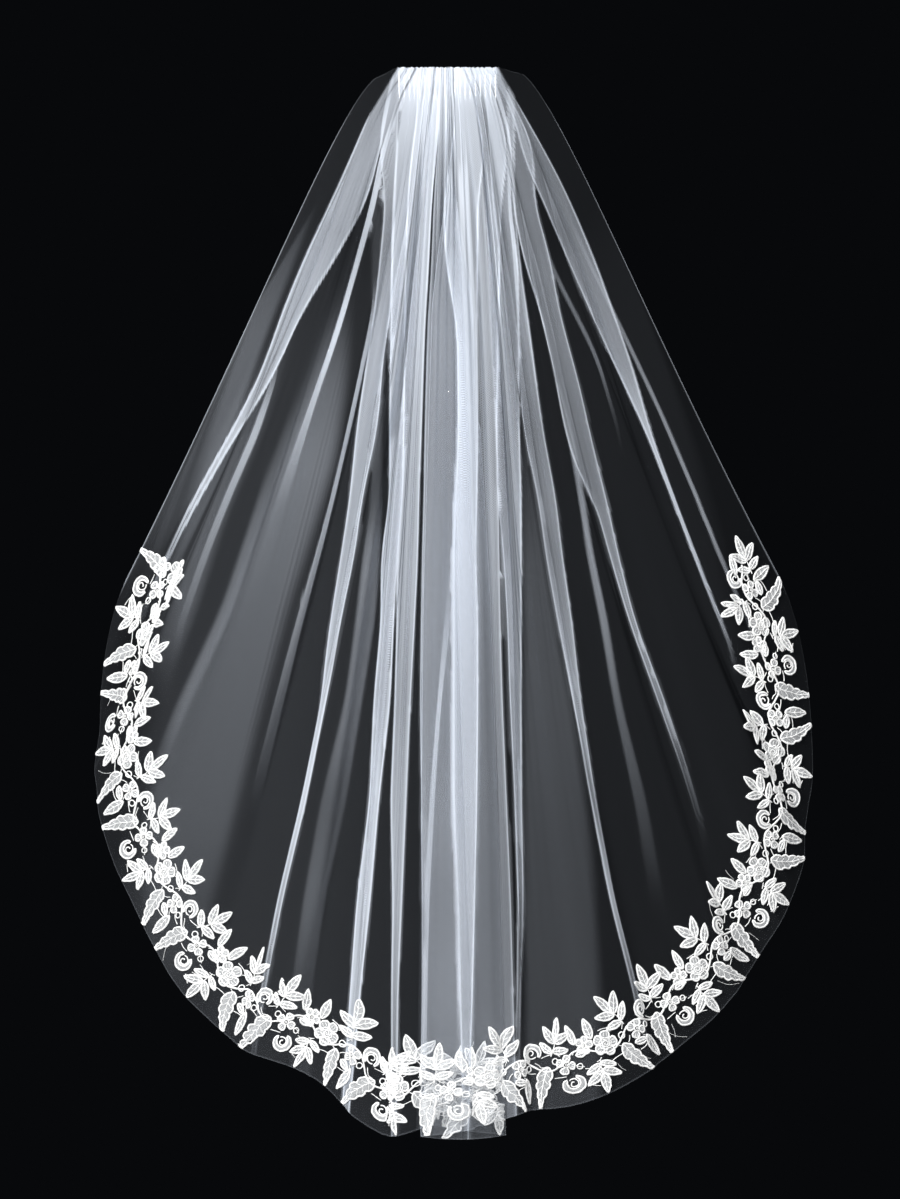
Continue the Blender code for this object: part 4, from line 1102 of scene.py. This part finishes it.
def threadTree(onCloth):  # edges become round cord, with "along" giving the place along it
    tree, given = newTree("laidThread" if onCloth else "thread", treeInputs + (("Sides", "NodeSocketInt"),))
    curve = addNode(tree, "GeometryNodeMeshToCurve", {"Mesh": given["Geometry"]})[0]
    if onCloth:
        curve = laidOnCloth(tree, curve, given["Cloth"], given["Lift"])
    along = addNode(tree, "GeometryNodeSplineParameter")["Length"]
    stored = {"Geometry": curve, "Name": "along", "Value": along}
    curve = addNode(tree, "GeometryNodeStoreNamedAttribute", stored, domain="POINT")[0]
    profile = {"Resolution": given["Sides"], "Radius": 1.0}
    circle = addNode(tree, "GeometryNodeCurvePrimitiveCircle", profile)[0]
    radius = addNode(tree, "GeometryNodeInputNamedAttribute", {"Name": "cordRadius"})[0]
    links = {"Curve": curve, "Profile Curve": circle, "Scale": radius, "Fill Caps": True}
    cord = addNode(tree, "GeometryNodeCurveToMesh", links)[0]
    cord = addNode(tree, "GeometryNodeSetShadeSmooth", {"Geometry": cord})[0]
    finishTree(tree, cord, given["Material"])
    return tree


def fillingTree():
    tree, given = newTree("laidFilling", treeInputs)
    laid = laidOnCloth(tree, given["Geometry"], given["Cloth"], given["Lift"])
    laid = addNode(tree, "GeometryNodeSetShadeSmooth", {"Geometry": laid})[0]
    finishTree(tree, laid, given["Material"])
    return tree


def grown(made, tree, values):  # runs a tree on an object and keeps the plain mesh
    modifier = made.modifiers.new(tree.name, "NODES")
    modifier.node_group = tree
    for item in tree.interface.items_tree:
        if item.in_out == "INPUT" and item.name in values:
            modifier[item.identifier] = values[item.name]
    bpy.context.view_layer.update()
    seen = made.evaluated_get(bpy.context.evaluated_depsgraph_get())
    mesh = bpy.data.meshes.new_from_object(seen)
    made.modifiers.clear()
    made.data = mesh
    return made


def cordedCotton():
    # Thick matt cotton cord, wound closely across its length with satin stitch: the whitest thing on the veil
    look = {"Roughness": 0.72, "Sheen Weight": 0.7, "Sheen Roughness": 0.4, "Specular IOR Level": 0.25}
    made, tree, shader = newMaterial("cordedCotton", look)
    along = addNode(tree, "ShaderNodeAttribute", attribute_name="along")["Fac"]
    wind = 2 * math.pi / (lace["wind"] * mm)
    turns = addNode(tree, "ShaderNodeMath", {0: along, 1: wind}, operation="MULTIPLY")[0]
    wound = addNode(tree, "ShaderNodeMath", {0: turns}, operation="SINE")[0]
    place = addNode(tree, "ShaderNodeTexCoord")["Object"]
    fluff = addNode(tree, "ShaderNodeTexNoise", {"Vector": place, "Scale": 900.0, "Detail": 2.0})["Fac"]
    shade = addNode(tree, "ShaderNodeTexNoise", {"Vector": place, "Scale": 60.0, "Detail": 2.0})["Fac"]
    tones = {"Factor": shade, 6: toLinear("#f2f2f1"), 7: toLinear("#ffffff")}
    tree.links.new(addNode(tree, "ShaderNodeMix", tones, data_type="RGBA")[2], shader["Base Color"])
    height = addNode(tree, "ShaderNodeMath", {0: wound, 1: 0.5, 2: fluff}, operation="MULTIPLY_ADD")[0]
    bump = addNode(tree, "ShaderNodeBump", {"Strength": 0.5, "Distance": 0.00012, "Height": height})[0]
    tree.links.new(bump, shader["Normal"])
    return made


def laceFilling():
    # The light darning between the cords: fine thread run back and forth, with small holes between
    look = {"Base Color": toLinear("#e6e8ea"), "Roughness": 0.8, "Sheen Weight": 0.3}
    made, tree, shader = newMaterial("laceFilling", {**look, "Specular IOR Level": 0.2})
    place = addNode(tree, "ShaderNodeTexCoord")["Object"]
    waves = []
    for way in ((1.0, 0.0, 0.35), (-0.3, 0.0, 1.0)):
        along = tuple(part / (lace["darning"] * mm) * 2 * math.pi for part in way)
        turn = addNode(tree, "ShaderNodeVectorMath", {0: place, 1: along}, operation="DOT_PRODUCT")["Value"]
        waves.append(addNode(tree, "ShaderNodeMath", {0: turn}, operation="SINE")[0])
    over = addNode(tree, "ShaderNodeMath", {0: waves[0], 1: waves[1]}, operation="MAXIMUM")[0]
    alpha = addNode(tree, "ShaderNodeMapRange", {0: over, 1: 0.0, 2: 0.85, 3: 0.08, 4: 0.58})[0]
    tree.links.new(alpha, shader["Alpha"])
    bump = addNode(tree, "ShaderNodeBump", {"Strength": 0.6, "Distance": 0.00015, "Height": over})[0]
    tree.links.new(bump, shader["Normal"])
    return made


def makeLace():
    thread, filling = threadTree(onCloth=True), fillingTree()
    cotton, darning = cordedCotton(), laceFilling()
    made = []
    for side, first, last in lace["pieces"]:
        cords, webs = trimStretch(first, last)
        name = "lace_" + side
        shared = {"Cloth": veilNet, "Lift": lace["lift"] * mm, "Sides": lace["sides"]}
        corded = newObject(name + "_cord", cordMesh(name + "_cord", cords))
        grown(corded, thread, {**shared, "Material": cotton})
        darned = newObject(name + "_filling", webMesh(name + "_filling", webs))
        grown(darned, filling, {**shared, "Material": darning})
        for piece in (corded, darned):
            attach(piece, "root")
            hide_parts(name)
            print(piece.name, sum(len(face.vertices) - 2 for face in piece.data.polygons), "triangles")
            made.append(piece)
    return made


laceParts = makeLace()

# The clear comb behind the gathers: a bar bowed with the head and slender teeth that end round. Sizes in mm.
comb = {
    "width": 94.0,
    "height": 6.0,
    "top": -1.5,
    "front": 2.45,  # from the gathered edge back to the bar
    "thick": 2.2,
    "teeth": 20,
    "toothLength": 27.0,
    "root": 2.6,
    "tip": 1.3,
    "tipThick": 0.9,
    "toothFit": 0.96,  # how deep a tooth is where it leaves the bar, as a share of it
    "barCorner": 0.6,
    "toothCorner": 0.85,
    "barSteps": 24,
    "sides": 12,
}
# The overcast thread that holds the gathered edge to the bar, one wrap between each two teeth
wraps = {"radius": 0.24, "slant": 1.3, "front": 1.2, "clear": 0.3}


def clearPlastic():
    # Clear moulded plastic, a little milky, with a soft gloss that handling has dulled in places
    look = {"Base Color": toLinear("#c3ccd0"), "Transmission Weight": 0.96, "IOR": 1.49}
    made, tree, shader = newMaterial("clearPlastic", {**look, "Specular IOR Level": 0.5})
    place = addNode(tree, "ShaderNodeTexCoord")["Object"]
    worn = addNode(tree, "ShaderNodeTexNoise", {"Vector": place, "Scale": 140.0, "Detail": 3.0})["Fac"]
    rough = addNode(tree, "ShaderNodeMapRange", {0: worn, 1: 0.35, 2: 0.7, 3: 0.05, 4: 0.2})[0]
    tree.links.new(rough, shader["Roughness"])
    ripple = addNode(tree, "ShaderNodeTexNoise", {"Vector": place, "Scale": 420.0})["Fac"]
    bump = addNode(tree, "ShaderNodeBump", {"Strength": 0.15, "Distance": 0.0001, "Height": ripple})[0]
    tree.links.new(bump, shader["Normal"])
    return made


def rod(centres, sideways, outways, corner):  # rings on two half axes, squarer for a lower corner
    turn = np.linspace(0, 2 * math.pi, comb["sides"], endpoint=False)
    ways = [np.sign(part) * np.abs(part) ** corner for part in (np.cos(turn), np.sin(turn))]
    rings = centres[:, None] + ways[0][None, :, None] * sideways[:, None]
    rings = rings + ways[1][None, :, None] * outways[:, None]
    at = np.arange(rings[..., 0].size).reshape(rings.shape[:2])
    ahead = np.roll(at, -1, axis=1)
    faces = np.stack([at[:-1], ahead[:-1], ahead[1:], at[1:]], axis=-1).reshape(-1, 4).tolist()
    return rings.reshape(-1, 3), faces + [at[0, ::-1].tolist(), at[-1].tolist()]


def makeComb():
    middle = comb["top"] - comb["height"] / 2
    steps = np.array((0.995, 0.8, 0.4, 0))  # the bar's ends are domed in these steps
    dome = np.sqrt(np.clip(1 - steps**2, 0, 1))
    ends = comb["width"] / 2 - comb["thick"] / 2 * (1 - steps)
    x = np.concatenate([-ends, np.linspace(-ends[-1], ends[-1], comb["barSteps"] + 2)[1:-1], ends[::-1]])
    size = np.concatenate([dome, np.ones(comb["barSteps"]), dome[::-1]])
    depth = comb["front"] + comb["thick"] / 2
    centres = np.stack([x, depth + recede(x), np.full_like(x, middle)], axis=1)
    tall, thick = np.array((0, 0, comb["height"] / 2)), np.array((0, comb["thick"] / 2, 0))
    parts = [rod(centres, size[:, None] * thick, size[:, None] * tall, comb["barCorner"])]
    share = np.array((0, 0.25, 0.5, 0.75, 0.92, 0.97, 0.99, 1.0))
    blunt = np.array((1, 1, 1, 1, 1, 0.85, 0.6, 0.15))
    half = blunt * (comb["root"] + (comb["tip"] - comb["root"]) * share) / 2
    deep = blunt * (comb["thick"] + (comb["tipThick"] - comb["thick"]) * share) / 2 * comb["toothFit"]
    pitch = (comb["width"] - comb["root"]) / (comb["teeth"] - 1)
    spots = np.arange(comb["teeth"]) * pitch - (comb["width"] - comb["root"]) / 2
    for spot in spots:
        low = middle - share * (comb["toothLength"] + comb["height"] / 2)
        centres = np.stack([np.full_like(low, spot), np.full_like(low, depth + recede(spot)), low], axis=1)
        wide, thick = half[:, None] * np.array((1, 0, 0)), deep[:, None] * np.array((0, 1, 0))
        parts.append(rod(centres, wide, thick, comb["toothCorner"]))
    places, faces = [], []
    for ringPlaces, ringFaces in parts:
        first = sum(len(p) for p in places)
        places.append(ringPlaces)
        faces += [[corner + first for corner in face] for face in ringFaces]
    mesh = newMesh("comb_clear", np.concatenate(places), [], faces)
    mesh.shade_smooth()
    made = newObject("comb_clear", mesh)
    mesh.materials.append(clearPlastic())
    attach(made, "root")
    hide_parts("comb")
    print("comb", len(faces), "faces")
    return spots


def makeWraps(spots):
    low, high = comb["top"] - comb["height"] - wraps["clear"], comb["top"] + wraps["clear"]
    front, back = wraps["front"], comb["front"] + comb["thick"] + wraps["clear"]
    around = (
        (front, low + 1), (front, high - 1), (front + 1, high), (back - 0.6, high),
        (back, high - 0.7), (back, low + 0.7), (back - 0.6, low), (front + 1, low),
    )
    places, edges = [], []
    for spot in (spots[:-1] + spots[1:]) / 2:
        first = len(places)
        lean = wraps["slant"] * (1 + chance.uniform(-0.25, 0.25)) / 2
        for k, (y, z) in enumerate(around):
            x = spot + lean * math.cos(2 * math.pi * (k + 0.5) / len(around))
            places.append((x, y + recede(x), z))
            edges.append((first + k, first + (k + 1) % len(around)))
    made = newObject("comb_wraps", threadMesh("comb_wraps", places, edges, [wraps["radius"]] * len(places)))
    grown(made, threadTree(onCloth=False), {"Sides": 8, "Material": bpy.data.materials["cordedCotton"]})
    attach(made, "root")
    print("wraps", len(made.data.polygons), "faces")


makeWraps(makeComb())


floor = {"radius": 800.0, "height": -1300.0, "points": 96}  # a plain pale disc well below the hem, in mm


def makeFloor():
    rim = raised(ringLine(floor["radius"], count=floor["points"]), floor["height"])
    mesh = newMesh("floor", rim, [], [list(range(floor["points"]))])
    made = newObject("floor", mesh)
    paper, tree, shader = newMaterial("palePaper", {"Roughness": 0.85})  # matt studio paper, faintly uneven
    place = addNode(tree, "ShaderNodeTexCoord")["Object"]
    cloud = addNode(tree, "ShaderNodeTexNoise", {"Vector": place, "Scale": 6.0})["Fac"]
    tones = {"Factor": cloud, 6: toLinear("#9c9d9d"), 7: toLinear("#a6a6a5")}
    tree.links.new(addNode(tree, "ShaderNodeMix", tones, data_type="RGBA")[2], shader["Base Color"])
    mesh.materials.append(paper)


makeFloor()


def makeLights():
    # Large soft boxes, with their places and sizes in m and watts: the main one high on the left, so that the
    # left half glows and the right half falls away
    boxes = (
        ("key", (-2.4, -3.2, 1.3), 1.8, 262),
        ("fill", (2.2, -3.4, 0.2), 2.0, 86),
        ("top", (0.2, -0.4, 2.2), 1.4, 40),
        ("back", (-1.4, 2.8, 0.8), 1.6, 120),
    )
    for name, place, size, power in boxes:
        light = bpy.data.lights.new(name, "AREA")
        light.size = size
        light.energy = power
        made = newObject(name, light)
        made.location = place
        aim = np.array((0, 0, -0.5)) - np.array(place)
        made.rotation_euler = Vector(aim).to_track_quat("-Z", "Y").to_euler()


makeLights()
world = bpy.data.worlds.new("studio")
bpy.context.scene.world = world
world.use_nodes = True
backdrop = world.node_tree.nodes["Background"].inputs  # a nearly black room
backdrop["Color"].default_value = toLinear("#08090b")
backdrop["Strength"].default_value = 1.0

# Straight on from far off, with the whole veil in the frame: mm, and the height and middle of what it sees
seen = {"lens": 350.0, "sensor": 36.0, "tall": 1139.05, "x": 1.9, "z": -505.875}
camera = bpy.data.cameras.new("camera")
camera.lens = seen["lens"]
camera.sensor_width = seen["sensor"]
view = newObject("camera", camera)
view.location = (seen["x"] * mm, -seen["tall"] * mm * seen["lens"] / seen["sensor"], seen["z"] * mm)
view.rotation_euler = (math.radians(90), 0, 0)
camera.clip_end = 60
bpy.context.scene.camera = view
bpy.context.scene.view_settings.view_transform = "Standard"
bpy.context.scene.cycles.transparent_max_bounces = 96
